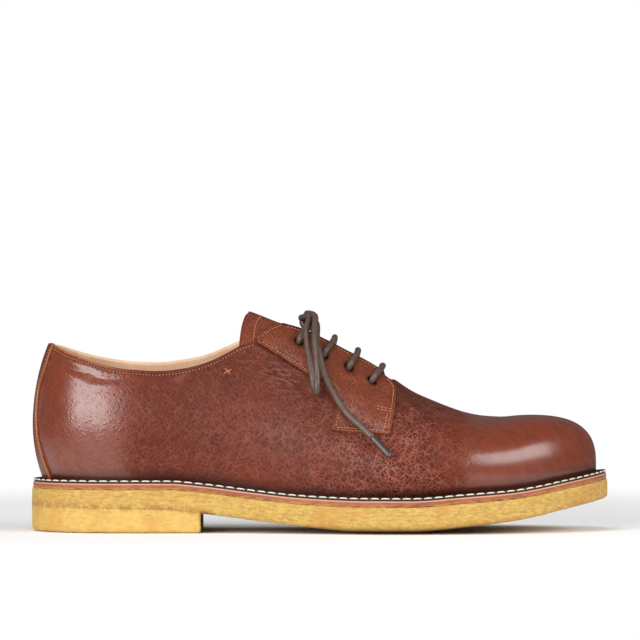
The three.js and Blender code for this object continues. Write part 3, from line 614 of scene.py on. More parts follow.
class Finish:
    """Builds the nodes of one material. Its coordinates are millimetres of the shoe's frame."""

    def __init__(self, name):
        self.material = bpy.data.materials.new(name)
        self.material.use_nodes = True
        self.nodes = self.material.node_tree.nodes
        self.shader = self.nodes["Principled BSDF"]
        place = self.add("ShaderNodeTexCoord").outputs["Object"]
        self.place = self.vector("MULTIPLY", place, (1000, 1000, 1000))

    def add(self, kind, inputs=None, **settings):
        node = self.nodes.new(kind)
        for name, value in settings.items():
            setattr(node, name, value)
        for name, value in (inputs or {}).items():
            self.set(node.inputs[name], value)
        return node

    def set(self, socket, value):
        if isinstance(value, bpy.types.NodeSocket):
            self.material.node_tree.links.new(value, socket)
        else:
            socket.default_value = value

    def shade(self, **values):
        for name, value in values.items():
            self.set(self.shader.inputs[name.replace("_", " ").title().replace("Ior", "IOR")], value)

    def vector(self, operation, a, b):
        return self.add("ShaderNodeVectorMath", {0: a, 1: b}, operation=operation).outputs[0]

    def math(self, operation, a, b=0.0):
        return self.add("ShaderNodeMath", {0: a, 1: b}, operation=operation).outputs[0]

    def times(self, a, b):
        return self.math("MULTIPLY", a, b)

    def stretched(self, scale, turn=(0, 0, 0)):
        """Coordinates stretched along turned axes, for a pattern that runs one way."""
        inputs = {"Vector": self.place, "Scale": scale, "Rotation": turn}
        return self.add("ShaderNodeMapping", inputs, vector_type="TEXTURE").outputs[0]

    def clouds(self, size, detail=3.0, at=None, roughness=0.5):
        """Noise from 0 to 1 with patches of about that size."""
        inputs = {"Vector": at or self.place, "Scale": 1 / size, "Detail": detail, "Roughness": roughness}
        return self.add("ShaderNodeTexNoise", inputs).outputs["Fac"]

    def warped(self, size, amount, at=None):
        """Coordinates pushed about by noise."""
        inputs = {"Vector": at or self.place, "Scale": 1 / size, "Detail": 2.0}
        push = self.add("ShaderNodeTexNoise", inputs).outputs["Color"]
        push = self.vector("SUBTRACT", push, (0.5, 0.5, 0.5))
        return self.vector("ADD", at or self.place, self.vector("MULTIPLY", push, (amount, amount, amount)))

    def cracks(self, size, width, at=None):
        """1 in the middle of grain cells of about that size, 0 in the lines between them."""
        inputs = {"Vector": at or self.place, "Scale": 1 / size}
        cells = self.add("ShaderNodeTexVoronoi", inputs, feature="DISTANCE_TO_EDGE").outputs["Distance"]
        return self.ranged(cells, 0, width)

    def ridges(self, size, count, at=None):
        """0 in fine lines that follow a noise's contours, 1 between them."""
        waves = self.times(self.clouds(size * 4, 2.0, at), count * math.pi)
        return self.ranged(self.math("ABSOLUTE", self.math("SINE", waves)), 0, 0.16, 0.5, 1.0)

    def ranged(self, value, low, high, to_low=0.0, to_high=1.0):
        inputs = {"Value": value, "From Min": low, "From Max": high, "To Min": to_low, "To Max": to_high}
        return self.add("ShaderNodeMapRange", inputs, interpolation_type="SMOOTHSTEP").outputs["Result"]

    def layer(self, name):
        """A value that the mesh carries at its points."""
        return self.add("ShaderNodeAttribute", attribute_name=name).outputs["Fac"]

    def mix(self, share, a, b, blend="MIX"):
        node = self.add("ShaderNodeMix", data_type="RGBA", blend_type=blend)
        self.set(node.inputs["Factor"], share)
        self.set(node.inputs[6], a)
        self.set(node.inputs[7], b)
        return node.outputs[2]

    def bump(self, height, depth, under=None):
        """Relief of a height from 0 to 1, its depth in millimetres."""
        inputs = {"Height": height, "Distance": depth * 0.001, "Strength": 1.0}
        if under is not None:
            inputs["Normal"] = under
        return self.add("ShaderNodeBump", inputs).outputs["Normal"]


def slanting(degrees):
    """Turn of a pattern that runs down towards the toe by that angle."""
    return (0, math.radians(degrees), 0)


LEATHER_ROUGHNESS = 0.42


def leather_finish(name, warm, plum, line, edge, cell, relief, coat):
    """Grained leather. Its mesh carries layers: warm, dark, grain, wrinkle and edge, from 0 to 1.

    Warm shares the two main colours, dark darkens them, mostly as painted shade, grain scales the net
    of fine lines, whose pale colour is partly a painted highlight, and its relief, wrinkle adds folds
    with painted light on their crests and painted shade in their troughs, and edge shows the cut.
    Cell is the grain's size in millimetres.
    """
    f = Finish(name)
    warm_share, dark_share, grain_share = f.layer("warm"), f.layer("dark"), f.layer("grain")
    falling = f.warped(5, 1.2, f.stretched((2.6, 1.0, 1.0), slanting(48)))
    rising = f.warped(6, 1.3, f.stretched((2.4, 1.0, 1.0), slanting(-42)))
    cells = f.cracks(cell, 0.07, falling)
    broad = f.cracks(cell * 1.7, 0.045, rising)
    pebbles = f.times(f.cracks(cell, 0.34, falling), f.cracks(cell * 1.7, 0.2, rising))
    ridges = f.ridges(2.6, 5, f.stretched((3.0, 1.0, 1.0), slanting(52)))
    net = f.times(f.times(cells, broad), ridges)
    lines = f.times(f.math("SUBTRACT", 1.0, net), grain_share)
    lines = f.times(lines, f.ranged(f.clouds(7, 4.0), 0.36, 0.62, 0.45, 1.0))
    fine = f.clouds(0.5, 3.0)
    patches = f.clouds(24, 4.0, f.warped(12, 6.0))
    streaks = f.clouds(4, 5.0, falling, 0.65)
    folds = f.clouds(1.25, 2.0, f.stretched((6.0, 1.0, 1.0), slanting(24)), 0.4)
    folded = f.layer("wrinkle")
    base = f.mix(warm_share, plum, warm)
    base = f.mix(f.ranged(patches, 0.38, 0.66, 0, 0.4), base, warm)
    deep = f.mix(1.0, base, (0.5, 0.4, 0.46, 1), "MULTIPLY")
    base = f.mix(f.ranged(streaks, 0.38, 0.7, 0, 0.5), base, deep)
    base = f.mix(f.times(pebbles, f.ranged(grain_share, 0.1, 1.0, 0, 0.6)), base, deep)
    # The grain's fine lines are paler: partly a paler crease colour, partly a painted highlight on the
    # grain.
    base = f.mix(f.times(lines, 0.7), base, line)
    # Folds: painted light on their crests and painted shade in their troughs.
    base = f.mix(f.times(f.ranged(folds, 0.5, 0.64), f.times(folded, 0.3)), base, line)
    base = f.mix(f.times(f.ranged(folds, 0.48, 0.36), f.times(folded, 0.6)), base, deep)
    # Painted shade: the dark layer pulls the colour towards near black.
    base = f.mix(dark_share, base, f.mix(1.0, base, (0.14, 0.12, 0.15, 1), "MULTIPLY"))
    base = f.mix(f.layer("edge"), base, edge)
    height = f.times(pebbles, f.ranged(grain_share, 0.03, 0.5, 0.1, 1.0))
    height = f.math("ADD", height, f.times(fine, 0.22))
    height = f.math("ADD", height, f.times(f.clouds(2.2, 2.0, rising), 0.5))
    height = f.math("ADD", height, f.times(folds, f.times(folded, 2.2)))
    f.shade(
        base_color=base,
        roughness=f.ranged(streaks, 0.3, 0.7, LEATHER_ROUGHNESS - 0.05, LEATHER_ROUGHNESS + 0.08),
        normal=f.bump(height, relief),
    )
    rough_share = f.math("ADD", f.times(folded, 0.3), f.times(grain_share, 0.6))
    smooth = f.math("SUBTRACT", warm_share, rough_share)
    f.shade(coat_weight=f.ranged(smooth, 0.0, 0.75, coat * 0.05, coat))
    f.shade(coat_normal=f.bump(f.times(pebbles, f.ranged(grain_share, 0.06, 0.45)), 0.1))
    f.shade(coat_ior=1.65, coat_roughness=0.25, specular_ior_level=0.12)
    return f.material


def lining_finish():
    f = Finish("lining")
    tone = f.mix(f.ranged(f.clouds(18, 3.0), 0.3, 0.7), colour(216, 178, 144), colour(236, 202, 170))
    tone = f.mix(f.ranged(f.clouds(0.6, 2.0), 0.35, 0.65, 0, 0.3), tone, colour(182, 138, 104))
    pores = f.math("ADD", f.cracks(0.9, 0.25, f.warped(3, 0.8)), f.clouds(0.4, 2.0))
    f.shade(base_color=tone, roughness=0.62, normal=f.bump(pores, 0.035))
    return f.material


def crepe_finish():
    f = Finish("crepe")
    flat = f.stretched((2.8, 2.8, 1.0))
    grit = f.clouds(1.0, 5.0, f.stretched((1.4, 1.4, 1.0)), 0.75)
    pits = f.clouds(1.3, 4.0, f.warped(8, 1.6, flat), 0.6)
    tone = f.mix(f.ranged(pits, 0.3, 0.7), colour(170, 132, 60), colour(204, 168, 86))
    tone = f.mix(f.ranged(grit, 0.45, 0.68, 0, 0.6), tone, colour(216, 182, 106))
    tone = f.mix(f.times(f.layer("lift"), 0.4), tone, colour(226, 188, 104))
    tone = f.mix(f.ranged(f.clouds(14, 4.0), 0.42, 0.75, 0, 0.5), tone, colour(188, 128, 54))
    joint = f.times(f.layer("joint"), f.ranged(f.clouds(4.5, 5.0, None, 0.7), 0.42, 0.58))
    tone = f.mix(f.times(joint, 0.85), tone, colour(164, 108, 48))
    # Painted shade on the heel's breast.
    tone = f.mix(f.layer("dark"), tone, colour(132, 84, 40))
    height = f.math("ADD", grit, f.times(pits, 1.3))
    f.shade(base_color=tone, roughness=f.ranged(grit, 0.3, 0.7, 0.62, 0.82), normal=f.bump(height, 0.5))
    f.shade(subsurface_weight=0.12, subsurface_radius=(1.0, 0.6, 0.25), subsurface_scale=0.002)
    return f.material


def edge_finish(name, low, high, deep, pale, glue):
    """The cut edge of layered leather: its layer pale paints a highlight along its upper rim, glued stains
    its foot.
    """
    f = Finish(name)
    flat = f.stretched((4.0, 4.0, 1.0))
    fibres = f.clouds(1.1, 4.0, flat, 0.65)
    tone = f.mix(f.ranged(fibres, 0.3, 0.7), low, high)
    tone = f.mix(f.ranged(f.clouds(12, 3.0), 0.4, 0.7, 0, 0.5), tone, deep)
    tone = f.mix(f.times(f.layer("pale"), 0.8), tone, pale)
    tone = f.mix(f.times(f.layer("glued"), f.ranged(fibres, 0.35, 0.6)), tone, glue)
    f.shade(base_color=tone, roughness=f.ranged(fibres, 0.3, 0.7, 0.5, 0.68), normal=f.bump(fibres, 0.12))
    return f.material


def lace_finish(name, dark, light, rough, coat):
    """Waxed round lace. Its mesh carries its length and turn at each point."""
    f = Finish(name)
    length, turn = f.layer("length"), f.layer("turn")
    lean = f.times(turn, math.tau * 5)
    run = f.times(length, math.tau / 1.5)
    left = f.math("ABSOLUTE", f.math("SINE", f.math("ADD", run, lean)))
    right = f.math("ABSOLUTE", f.math("SINE", f.math("SUBTRACT", run, lean)))
    braid = f.math("MAXIMUM", left, right)
    wax = f.clouds(2.5, 3.0)
    tone = f.mix(f.ranged(braid, 0.4, 1.0), dark, light)
    tone = f.mix(f.ranged(wax, 0.35, 0.7, 0, 0.5), tone, dark)
    f.shade(base_color=tone, roughness=f.ranged(wax, 0.3, 0.7, rough - 0.06, rough + 0.08))
    f.shade(normal=f.bump(braid, 0.035, f.bump(f.clouds(0.5, 2.0), 0.03)))
    f.shade(coat_weight=coat, coat_roughness=0.35)
    return f.material


def thread_finish(name, low, high):
    f = Finish(name)
    twist = f.clouds(0.5, 2.0, f.stretched((1.0, 1.0, 1.0), (0, 0.7, 0.4)))
    f.shade(base_color=f.mix(f.ranged(twist, 0.3, 0.7), low, high), roughness=0.6, normal=f.bump(twist, 0.1))
    return f.material


CUT_EDGE = colour(168, 98, 58)
# The third colour of each leather, for the grain's lines and the folds' crests, is partly a painted
# highlight.
UPPER_LEATHER = leather_finish(
    "upper_leather", colour(114, 46, 19), colour(92, 39, 25), colour(164, 105, 90), CUT_EDGE, 1.6, 0.18, 0.92
)
FACING_LEATHER = leather_finish(
    "facing_leather", colour(116, 51, 27), colour(78, 36, 26), colour(172, 112, 88), CUT_EDGE, 1.4, 0.18, 0.3
)
LINING = lining_finish()
CREPE = crepe_finish()
MIDSOLE_EDGE = edge_finish(
    "midsole_leather",
    low=colour(138, 72, 46),
    high=colour(168, 98, 66),
    deep=colour(116, 56, 36),
    # the highlight painted along the top rim
    pale=colour(200, 150, 118),
    glue=colour(206, 152, 84),
)
WELT_EDGE = edge_finish(
    "welt_leather",
    low=colour(26, 15, 13),
    high=colour(44, 28, 25),
    deep=colour(18, 11, 10),
    pale=colour(120, 100, 90),
    glue=colour(18, 11, 10),
)
LACE_WAX = lace_finish("lace_wax", colour(54, 40, 33), colour(98, 78, 67), 0.42, 0.25)
AGLET_FILM = lace_finish("aglet_film", colour(46, 32, 26), colour(66, 48, 40), 0.22, 0.8)
WELT_THREAD = thread_finish("welt_thread", colour(200, 186, 166), colour(238, 226, 208))
SEAM_THREAD = thread_finish("seam_thread", colour(160, 96, 58), colour(202, 138, 92))


def add_piece(name, points, faces, materials, replaces=(), face_materials=None, layers=None):
    """A piece from points in millimetres. Equal points are joined."""
    mesh = bpy.data.meshes.new(name)
    mesh.from_pydata((np.asarray(points, float) * 0.001).tolist(), [], [tuple(face) for face in faces])
    for material in materials:
        mesh.materials.append(material)
    if face_materials is not None:
        mesh.polygons.foreach_set("material_index", np.asarray(face_materials, np.int32))
    for layer, values in (layers or {}).items():
        attribute = mesh.attributes.new(layer, "FLOAT", "POINT")
        attribute.data.foreach_set("value", np.asarray(values, np.float32).ravel())
    shape = bmesh.new()
    shape.from_mesh(mesh)
    bmesh.ops.remove_doubles(shape, verts=shape.verts, dist=1e-5)
    shape.to_mesh(mesh)
    shape.free()
    mesh.polygons.foreach_set("use_smooth", np.ones(len(mesh.polygons), bool))
    mesh.update()
    piece = bpy.data.objects.new(name, mesh)
    bpy.context.collection.objects.link(piece)
    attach(piece, "root")
    if replaces:
        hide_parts(*replaces)
    return piece


def fix_normals(piece):
    shape = bmesh.new()
    shape.from_mesh(piece.data)
    bmesh.ops.recalc_face_normals(shape, faces=shape.faces)
    shape.to_mesh(piece.data)
    shape.free()


def grid_faces(rows, columns, offset=0, wrap=False, flip=False):
    """Faces of a grid of points; wrap joins the last row to the first."""
    i = np.arange(rows if wrap else rows - 1)[:, None]
    j = np.arange(columns - 1)[None, :]
    a, b = offset + i * columns + j, offset + (i + 1) % rows * columns + j
    faces = np.stack([a, b, b + 1, a + 1], -1).reshape(-1, 4)
    return faces[:, ::-1] if flip else faces


# Laces
def tube(centres, radius, sides=14, taper=0.0):
    """A round tube: points, faces, and its length and turn at each point. Taper rounds its ends."""
    centres = np.asarray(centres, float)
    count = len(centres)
    tangents = unit(np.gradient(centres, axis=0))
    out = np.zeros_like(centres)
    out[0] = unit(np.cross(tangents[0], (0.3, 0.2, 1.0)))
    for i in range(1, count):
        carried = out[i - 1] - tangents[i] * np.dot(out[i - 1], tangents[i])
        out[i] = unit(carried)
    across = np.cross(tangents, out)
    run = np.concatenate([[0], np.cumsum(np.linalg.norm(np.diff(centres, axis=0), axis=1))])
    radii = radius + 0 * run
    if taper:
        near_end = np.minimum(run, run[-1] - run) / taper
        radii = radius * np.sqrt(np.clip(1 - (1 - np.clip(near_end, 0, 1)) ** 2, 0.02, 1))
    turn = np.arange(sides + 1) / sides
    angle = turn * math.tau
    ring = np.cos(angle)[None, :, None] * out[:, None] + np.sin(angle)[None, :, None] * across[:, None]
    points = (centres[:, None] + ring * radii[:, None, None]).reshape(-1, 3)
    faces = [tuple(face) for face in grid_faces(count, sides + 1, flip=True)]
    faces.append(tuple(range(sides)))
    last = (count - 1) * (sides + 1)
    faces.append(tuple(last + k for k in reversed(range(sides))))
    layers = {"length": np.repeat(run, sides + 1), "turn": np.tile(turn, count)}
    return points, faces, layers


KNOT_X = to_x(EYELETS[0][0] + EYELETS[0][2])
KNOT_CENTRE = lifted(KNOT_X, 1e-6, BAR_LIFT + KNOT_LIFT)
KNOT_CLEARANCE = KNOT_LENGTH / 2 + 0.9


def knot_exit(side, ahead, above, out=KNOT_CLEARANCE + GAP):
    return KNOT_CENTRE + np.array((ahead * LACE, side * out, above * LACE))


def add_lace_piece(name, line, diameter, material, node, spacing=0.7, taper=0.6):
    line = evenly(line, spacing)
    points, faces, layers = tube(line, diameter / 2, taper=taper)
    return add_piece(name, points, faces, [material], [node], layers=layers), line


KNOT_CORE = 1.2  # how far from the knot's middle a strand starts inside it
for side, word in ((-1, "outer"), (1, "inner")):
    aglet, aglet_line = add_lace_piece(
        f"lace_aglet_{word}",
        spline(side_lifted(AGLET_ROUTE, side), 12),
        AGLET,
        AGLET_FILM,
        f"aglet_{word}",
        taper=0.35,
    )
    loop_route = np.vstack(
        [
            knot_exit(side, -0.8, 0.5, KNOT_CORE),
            knot_exit(side, -1.16, 0.62),
            side_lifted(LOOP_ROUTE, side),
            knot_exit(side, -0.25, 1.3),
            knot_exit(side, -0.2, 0.8, KNOT_CORE),
        ]
    )
    loop, loop_line = add_lace_piece(
        f"bow_loop_{word}", spline(loop_route, 16), LACE, LACE_WAX, f"lace_loop_{word}"
    )
    end_route = np.vstack(
        [
            knot_exit(side, 0.7, -0.1, KNOT_CORE),
            knot_exit(side, 1.14, -0.14),
            side_lifted(END_ROUTE, side),
            (aglet_line[1] + aglet_line[2]) / 2,
        ]
    )
    end, end_line = add_lace_piece(
        f"bow_end_{word}", spline(end_route, 16), LACE, LACE_WAX, f"lace_end_{word}"
    )


# The knot is one strand wound about the bow's roots.
WRAP_RADIUS = KNOT_DIAMETER / 2 - LACE / 2
WRAP_TURNS = 2.6
wrap_angle = np.linspace(-0.6, WRAP_TURNS - 0.6, 90) * math.tau
wrap_share = np.linspace(-1, 1, 90)
wrap_y = wrap_share * (KNOT_LENGTH - LACE) / 2
wrap = KNOT_CENTRE + np.stack(
    [WRAP_RADIUS * np.sin(wrap_angle), wrap_y, WRAP_RADIUS * np.cos(wrap_angle)], 1
)
add_lace_piece("bow_knot", wrap, LACE, LACE_WAX, "lace_knot", spacing=0.6)


def bar_route(eyelet, knotted):
    """From inside one eyelet over the throat into the other."""
    half = THROAT_WIDTH / 2 + GAP
    reach = eyelet[1] * SOLE_WIDTH
    bend = BAR_LIFT - EYELET_CLIMB

    def place(across, lift):
        share = min(abs(across) / reach, 1)
        return lifted(to_x(eyelet[0] + eyelet[2] * (1 - share * share)), across, lift)

    def half_bar(sign):
        return [
            place(sign * reach, -1.0),
            place(sign * reach, EYELET_CLIMB),
            place(sign * (reach - 0.3 * bend), EYELET_CLIMB + 0.7 * bend),
            place(sign * (reach - bend), BAR_LIFT),
            place(sign * (reach + half) / 2, BAR_LIFT),
            place(sign * half, BAR_LIFT),
        ]

    level = [KNOT_CENTRE + np.array((0, share * KNOT_CLEARANCE, 0)) for share in (-1, 0, 1)]
    centre = level if knotted else [place(1e-6, BAR_LIFT - BAR_SAG)]
    return half_bar(-1) + centre + half_bar(1)[::-1]


for number, eyelet in enumerate(EYELETS, 1):
    route = spline(bar_route(eyelet, number == 1), 12)
    add_lace_piece(f"bar_{number}", route, LACE, LACE_WAX, f"lace_bar_{number}")


# Sole
TURNS = np.arange(520) / 260
sole_rays = rays_at(TURNS)


def rough(points, size, seed=0.0):
    """Noise from about -1 to 1 at points, with lumps of about that size."""
    return np.array([noise.noise(Vector(p) / size + Vector((seed, seed, seed))) for p in points])


def row_at(reach, height_of):
    """A row at a reach along the rays, with a height that follows the place."""
    x = sole_rays.x + sole_rays.dx * reach
    return reach, height_of(x)


def underside(reach):
    x = sole_rays.x + sole_rays.dx * reach
    out = np.clip((reach / sole_rays.sole - LEVEL_SHARE) / (1 - LEVEL_SHARE), 0, 1)
    return reach, under_edge(x) - SOLE_CROWN * crown_share_under(to_along(x)) * (1 - out * out)


midsole_reach = sole_rays.sole - CREPE_FLARE
welt_reach = midsole_reach - WELT_SETBACK


BREAST = float(to_x(0)) + HEEL_LENGTH
WALL_STEPS = 12
RIM_ROUNDING = 1.2
CORNER_REACH = 3


def before_breast(x):
    """1 over the heel and 0 ahead of it."""
    return 1 - eased(x, BREAST - 4, BREAST + 4)


def crepe_wall(top_of, bottom_of, top_rounding, bottom_rounding):
    """Rows of a crepe side wall from its top rim to its lower rim."""
    rows = []
    for share in np.linspace(0, 1, WALL_STEPS):
        x = sole_rays.x + sole_rays.dx * sole_rays.sole
        tuck = top_rounding * max(0, 1 - share * WALL_STEPS / 2) ** 2
        tuck = tuck + bottom_rounding(x) * max(0, 1 - (1 - share) * WALL_STEPS / 1.6) ** 2
        reach = sole_rays.sole - tuck
        rows.append((reach, top_of(x) + (bottom_of(x) - top_of(x)) * share))
    return rows


def crepe_points(rows, wall_rows, lower_row, ragged_share, front=None):
    """Points of a crepe layer with a rough wall and a ragged lower rim; front ends it straight."""
    points = np.stack([sole_rays.at(reach, height) for reach, height in rows], 1)
    count = len(rows)
    outward = np.stack([sole_rays.dx, sole_rays.dy, 0 * sole_rays.dx], 1)[:, None]
    flat = points.reshape(-1, 3)
    lumps = (rough(flat, 3.2) * 0.16 + rough(flat, 1.3, 5) * 0.1).reshape(len(TURNS), count, 1)
    points[:, wall_rows] += (outward * lumps)[:, wall_rows]
    rim = points[:, lower_row] * (1, 1, 0)
    ragged = (rough(rim, 2.6, 9) * 0.5 + rough(rim, 6, 2) * 0.4) * ragged_share(rim[:, 0])
    points[:, lower_row - 2 : lower_row + 1, 2] += np.outer(ragged, (0.25, 0.7, 1.0))
    points[..., 2] = np.maximum(points[..., 2], 0.02)
    if front is not None:
        # What lies ahead of the front is folded back onto its plane, between its two corners.
        for row in np.moveaxis(points, 1, 0):
            ahead = row[:, 0] > front
            corners = row[~ahead & (row[:, 0] > front - CORNER_REACH), 1]
            row[ahead, 1] = np.clip(row[ahead, 1], corners.min(), corners.max())
            row[ahead, 0] = front
    return points


def add_crepe(name, node, points):
    """A crepe layer, with its layers joint: the glued seam of the two, lift: the heel, and dark: painted
    shade on the heel's breast.
    """
    flat = points.reshape(-1, 3)
    over_rim = flat[:, 2] - under_edge(flat[:, 0])
    joint = bell(over_rim, 0.9, 1.9) * before_breast(flat[:, 0] - 3)
    lift = (over_rim < 0.03) * before_breast(flat[:, 0])
    # Painted shade on the breast face of the heel.
    corner = bell(flat[:, 0], BREAST + 2.5, 3.5) * (1 - eased(over_rim, 0.5, 2.5))
    layers = {"joint": joint, "lift": lift, "dark": corner * (flat[:, 0] > BREAST - 0.5)}
    faces = grid_faces(*points.shape[:2], wrap=True, flip=True)
    return add_piece(name, flat, faces, [CREPE], [node], layers=layers)


def outsole_top(x):
    return seat(x) - MIDSOLE_THICKNESS - GAP / 2


outsole_wall = crepe_wall(outsole_top, under_edge, 0.4, lambda x: RIM_ROUNDING * (1 - before_breast(x)))
outsole_rows = [row_at(0 * sole_rays.sole, outsole_top), row_at(sole_rays.sole - 1.6, outsole_top)]
outsole_rows += outsole_wall
outsole_rows += [underside(sole_rays.sole * share) for share in (0.95, 0.88, 0.8, 0.7, 0.6, 0.5, 0.25, 0)]
outsole_points = crepe_points(
    outsole_rows, slice(3, 2 + WALL_STEPS), 1 + WALL_STEPS, lambda x: 1 - before_breast(x)
)
add_crepe("crepe_outsole", "outsole", outsole_points)


def lift_top(x):
    return under_edge(x) + 0.02


def level_with_floor(x):
    return 0 * x


lift_wall = crepe_wall(lift_top, level_with_floor, 0, lambda x: RIM_ROUNDING + 0 * x)
lift_rows = [row_at(0 * sole_rays.sole, lift_top)] + lift_wall
lift_rows += [row_at(sole_rays.sole - 3, level_with_floor), row_at(0 * sole_rays.sole, level_with_floor)]
lift_points = crepe_points(lift_rows, slice(1, WALL_STEPS), WALL_STEPS, lambda x: 1 + 0 * x, BREAST)
add_crepe("crepe_heel", "heel_lift", lift_points)


def add_band(name, node, rows, material, painted_highlight_rows=(), glued_rows=()):
    """A thin layer of the sole between the crepe and the upper."""
    points = np.stack([sole_rays.at(reach, height) for reach, height in rows], 1).reshape(-1, 3)
    pale, glued = np.zeros(len(rows)), np.zeros(len(rows))
    pale[list(painted_highlight_rows)] = 1
    glued[list(glued_rows)] = 1
    faces = grid_faces(len(TURNS), len(rows), wrap=True, flip=True)
    layers = {"pale": np.tile(pale, len(TURNS)), "glued": np.tile(glued, len(TURNS))}
    return add_piece(name, points, faces, [material], [node], layers=layers)


def midsole_bottom(x):
    return seat(x) - MIDSOLE_THICKNESS


midsole_rows = [row_at(0 * midsole_reach, seat), row_at(midsole_reach - 2.5, seat)]
midsole_rows += [row_at(midsole_reach - 0.5, seat), row_at(midsole_reach - 0.12, lambda x: seat(x) - 0.12)]
midsole_rows += [row_at(midsole_reach, lambda x, drop=drop: seat(x) - drop) for drop in (0.5, 0.8)]
midsole_rows += [row_at(midsole_reach - 0.06, lambda x: seat(x) - 1.8)]
midsole_rows += [row_at(midsole_reach, midsole_bottom)]
midsole_rows += [row_at(0 * midsole_reach, midsole_bottom)]
# Rows 1 to 4 carry the painted highlight of the midsole's top rim; row 7 is glued.
add_band("midsole_band", "midsole", midsole_rows, MIDSOLE_EDGE, (1, 2, 3, 4), (7,))


# Upper
TROUGHS = [
    # side view line in millimetres, depth, half width, side (-1 outer, 1 inner, 0 both)
    ([(-140, 89.5), (-134, 86.6), (-125.5, 83.4), (-113, 80.8)], 0.5, 1.8, -1),
    ([(-131, 83.8), (-124, 81), (-118, 78.8), (-110, 78), (-101, 78.4)], 0.32, 1.8, -1),
    ([(-122, 83.5), (-113, 79.5), (-104, 79)], 0.2, 1.6, -1),
    ([(-134, 87), (-122, 83), (-108, 82)], 0.6, 2.2, 1),
    ([(-36, 90), (-24, 86), (-14, 80), (-8, 75)], 0.28, 1.6, 0),
    ([(-38, 86), (-27, 82.5), (-17, 77), (-10, 71.5)], 0.24, 1.6, 0),
    ([(-37, 81.5), (-28, 78), (-19, 73.5), (-12, 68)], 0.2, 1.7, 0),
    ([(38, 74), (44, 64), (50, 55), (57, 47), (66, 40)], 0.3, 3.6, 0),
    ([(45, 73), (53, 64), (62, 56), (72, 50)], 0.26, 3.4, 0),
    ([(30, 46), (38, 42), (47, 36), (54, 29)], 0.26, 3.0, 0),
    ([(47, 62), (46, 52), (42, 42), (36, 34)], 0.22, 3.2, 0),
    ([(70, 52), (71, 44), (69, 36)], 0.2, 3.6, 0),
]


def side_distance(points, line):
    """Distance to a line in the side view, and the share along it."""
    flat = points[..., [0, 2]]
    nearest = np.full(flat.shape[:-1], 1e9)
    share = np.zeros(flat.shape[:-1])
    for i in range(len(line) - 1):
        a, b = np.array(line[i], float), np.array(line[i + 1], float)
        edge = b - a
        t = np.clip(((flat - a) @ edge) / (edge @ edge), 0, 1)
        distance = np.linalg.norm(flat - a - t[..., None] * edge, axis=-1)
        closer = distance < nearest
        nearest = np.where(closer, distance, nearest)
        share = np.where(closer, (i + t) / (len(line) - 1), share)
    return nearest, share


def relief(points):
    """Height of the leather's folds over its smooth form, in millimetres."""
    height = np.zeros(points.shape[:-1])
    side = np.sign(points[..., 1] - ridge_y(points[..., 0]))
    for line, depth, width, where in TROUGHS:
        distance, share = side_distance(points, line)
        fade = np.sin(np.clip(share, 0.02, 0.98) * np.pi) ** 0.6
        here = 1.0 if where == 0 else (side == where)
        ratio = distance / width
        height -= depth * fade * here * (bell(ratio, 0, 1) - 0.45 * bell(ratio, 1.7, 1))
    return height


def leather_layers(points, seam=None):
    """The layers warm, dark, grain and wrinkle of the leather at points."""
    x, z = points[..., 0], points[..., 2]
    over_seat = z - seat(x)
    # The toe and the heel are smooth and warm, and the flexing ball between them is grained.
    toe, heel = eased(x, 52, 92), eased(-x, 86, 114)
    warm = np.clip(toe + heel + 0.35 * eased(-z, -34, -22) * eased(-x, -40, 40), 0, 1)
    # Painted shade darkens the leather towards the welt and over the vamp's top; it is also darker towards
    # the collar.
    feather = 1 - eased(over_seat, 1.0, 9)
    upper_shade = 0.3 * eased(z, 70, 100) * eased(x, -100, -60)
    vamp_shade = 0.3 * bell(x, 54, 22) * eased(z, 44, 66)
    dark = np.clip(0.85 * feather + upper_shade + vamp_shade, 0, 1)
    # A seam's stitch line is darkened with painted shade.
    if seam is not None:
        dark = np.maximum(dark, seam)
    flex = bell(x, 36, 32) * (1 - eased(z, 58, 74))
    grain = np.clip(0.34 + 0.66 * flex - 0.28 * toe - 0.08 * heel - 0.1 * feather, 0.04, 1)
    behind_facing = bell(x, -18, 19) * bell(z + 0.45 * (x + 18), 80, 9)
    over_vamp = 0.5 * bell(x, 52, 17) * bell(z, 64, 8)
    return {"warm": warm, "dark": dark, "grain": grain, "wrinkle": behind_facing + over_vamp}


COLUMNS = 640
LOWER_ROWS = 22
UPPER_ROWS = 64
upper_turns = np.arange(COLUMNS) * 2 / COLUMNS


def trimmed_rises(turns, lower, upper, drop, margin):
    """Rises of each column from the upper's foot to where the collar or throat ends it."""
    rays = rays_at(turns)
    end = np.minimum(collar_rise(rays, drop), throat_rise(rays, margin))
    start = LOWER_PART * np.arange(lower) / lower
    rest = LOWER_PART + (end[:, None] - LOWER_PART) * np.linspace(0, 1, upper + 1)[None, :]
    return np.hstack([np.tile(start, (len(turns), 1)), rest]), end


def upper_grid(turns, lower, upper):
    rises, end = trimmed_rises(turns, lower, upper, WALL / 2, WALL / 2)
    points, normals = skin_at(turns[:, None] + 0 * rises, rises)
    return points, normals, rises, end


points, normals, rises, end = upper_grid(upper_turns, LOWER_ROWS, UPPER_ROWS)
outside = points + normals * relief(points)[..., None]
inside = points[::2, ::2] - normals[::2, ::2] * WALL
rim_start, rim_normal = outside[:, -1], normals[:, -1]
rim_up = unit(points[:, -1] - points[:, -3])
RIM_STEPS = 5
rim = []
for k in range(1, RIM_STEPS + 1):
    angle = k / RIM_STEPS * math.pi
    centre = rim_start - rim_normal * (WALL / 2)
    rim.append(centre + rim_normal * (WALL / 2 * math.cos(angle)) + rim_up * (WALL / 2 * math.sin(angle)))
rim = np.stack([rim_start] + rim, 1)
cut = end < 0.999
rows = points.shape[1]
outer_faces = grid_faces(COLUMNS, rows, wrap=True)
inner_faces = grid_faces(COLUMNS // 2, inside.shape[1], offset=COLUMNS * rows, wrap=True, flip=True)
rim_offset = COLUMNS * rows + (COLUMNS // 2) * inside.shape[1]
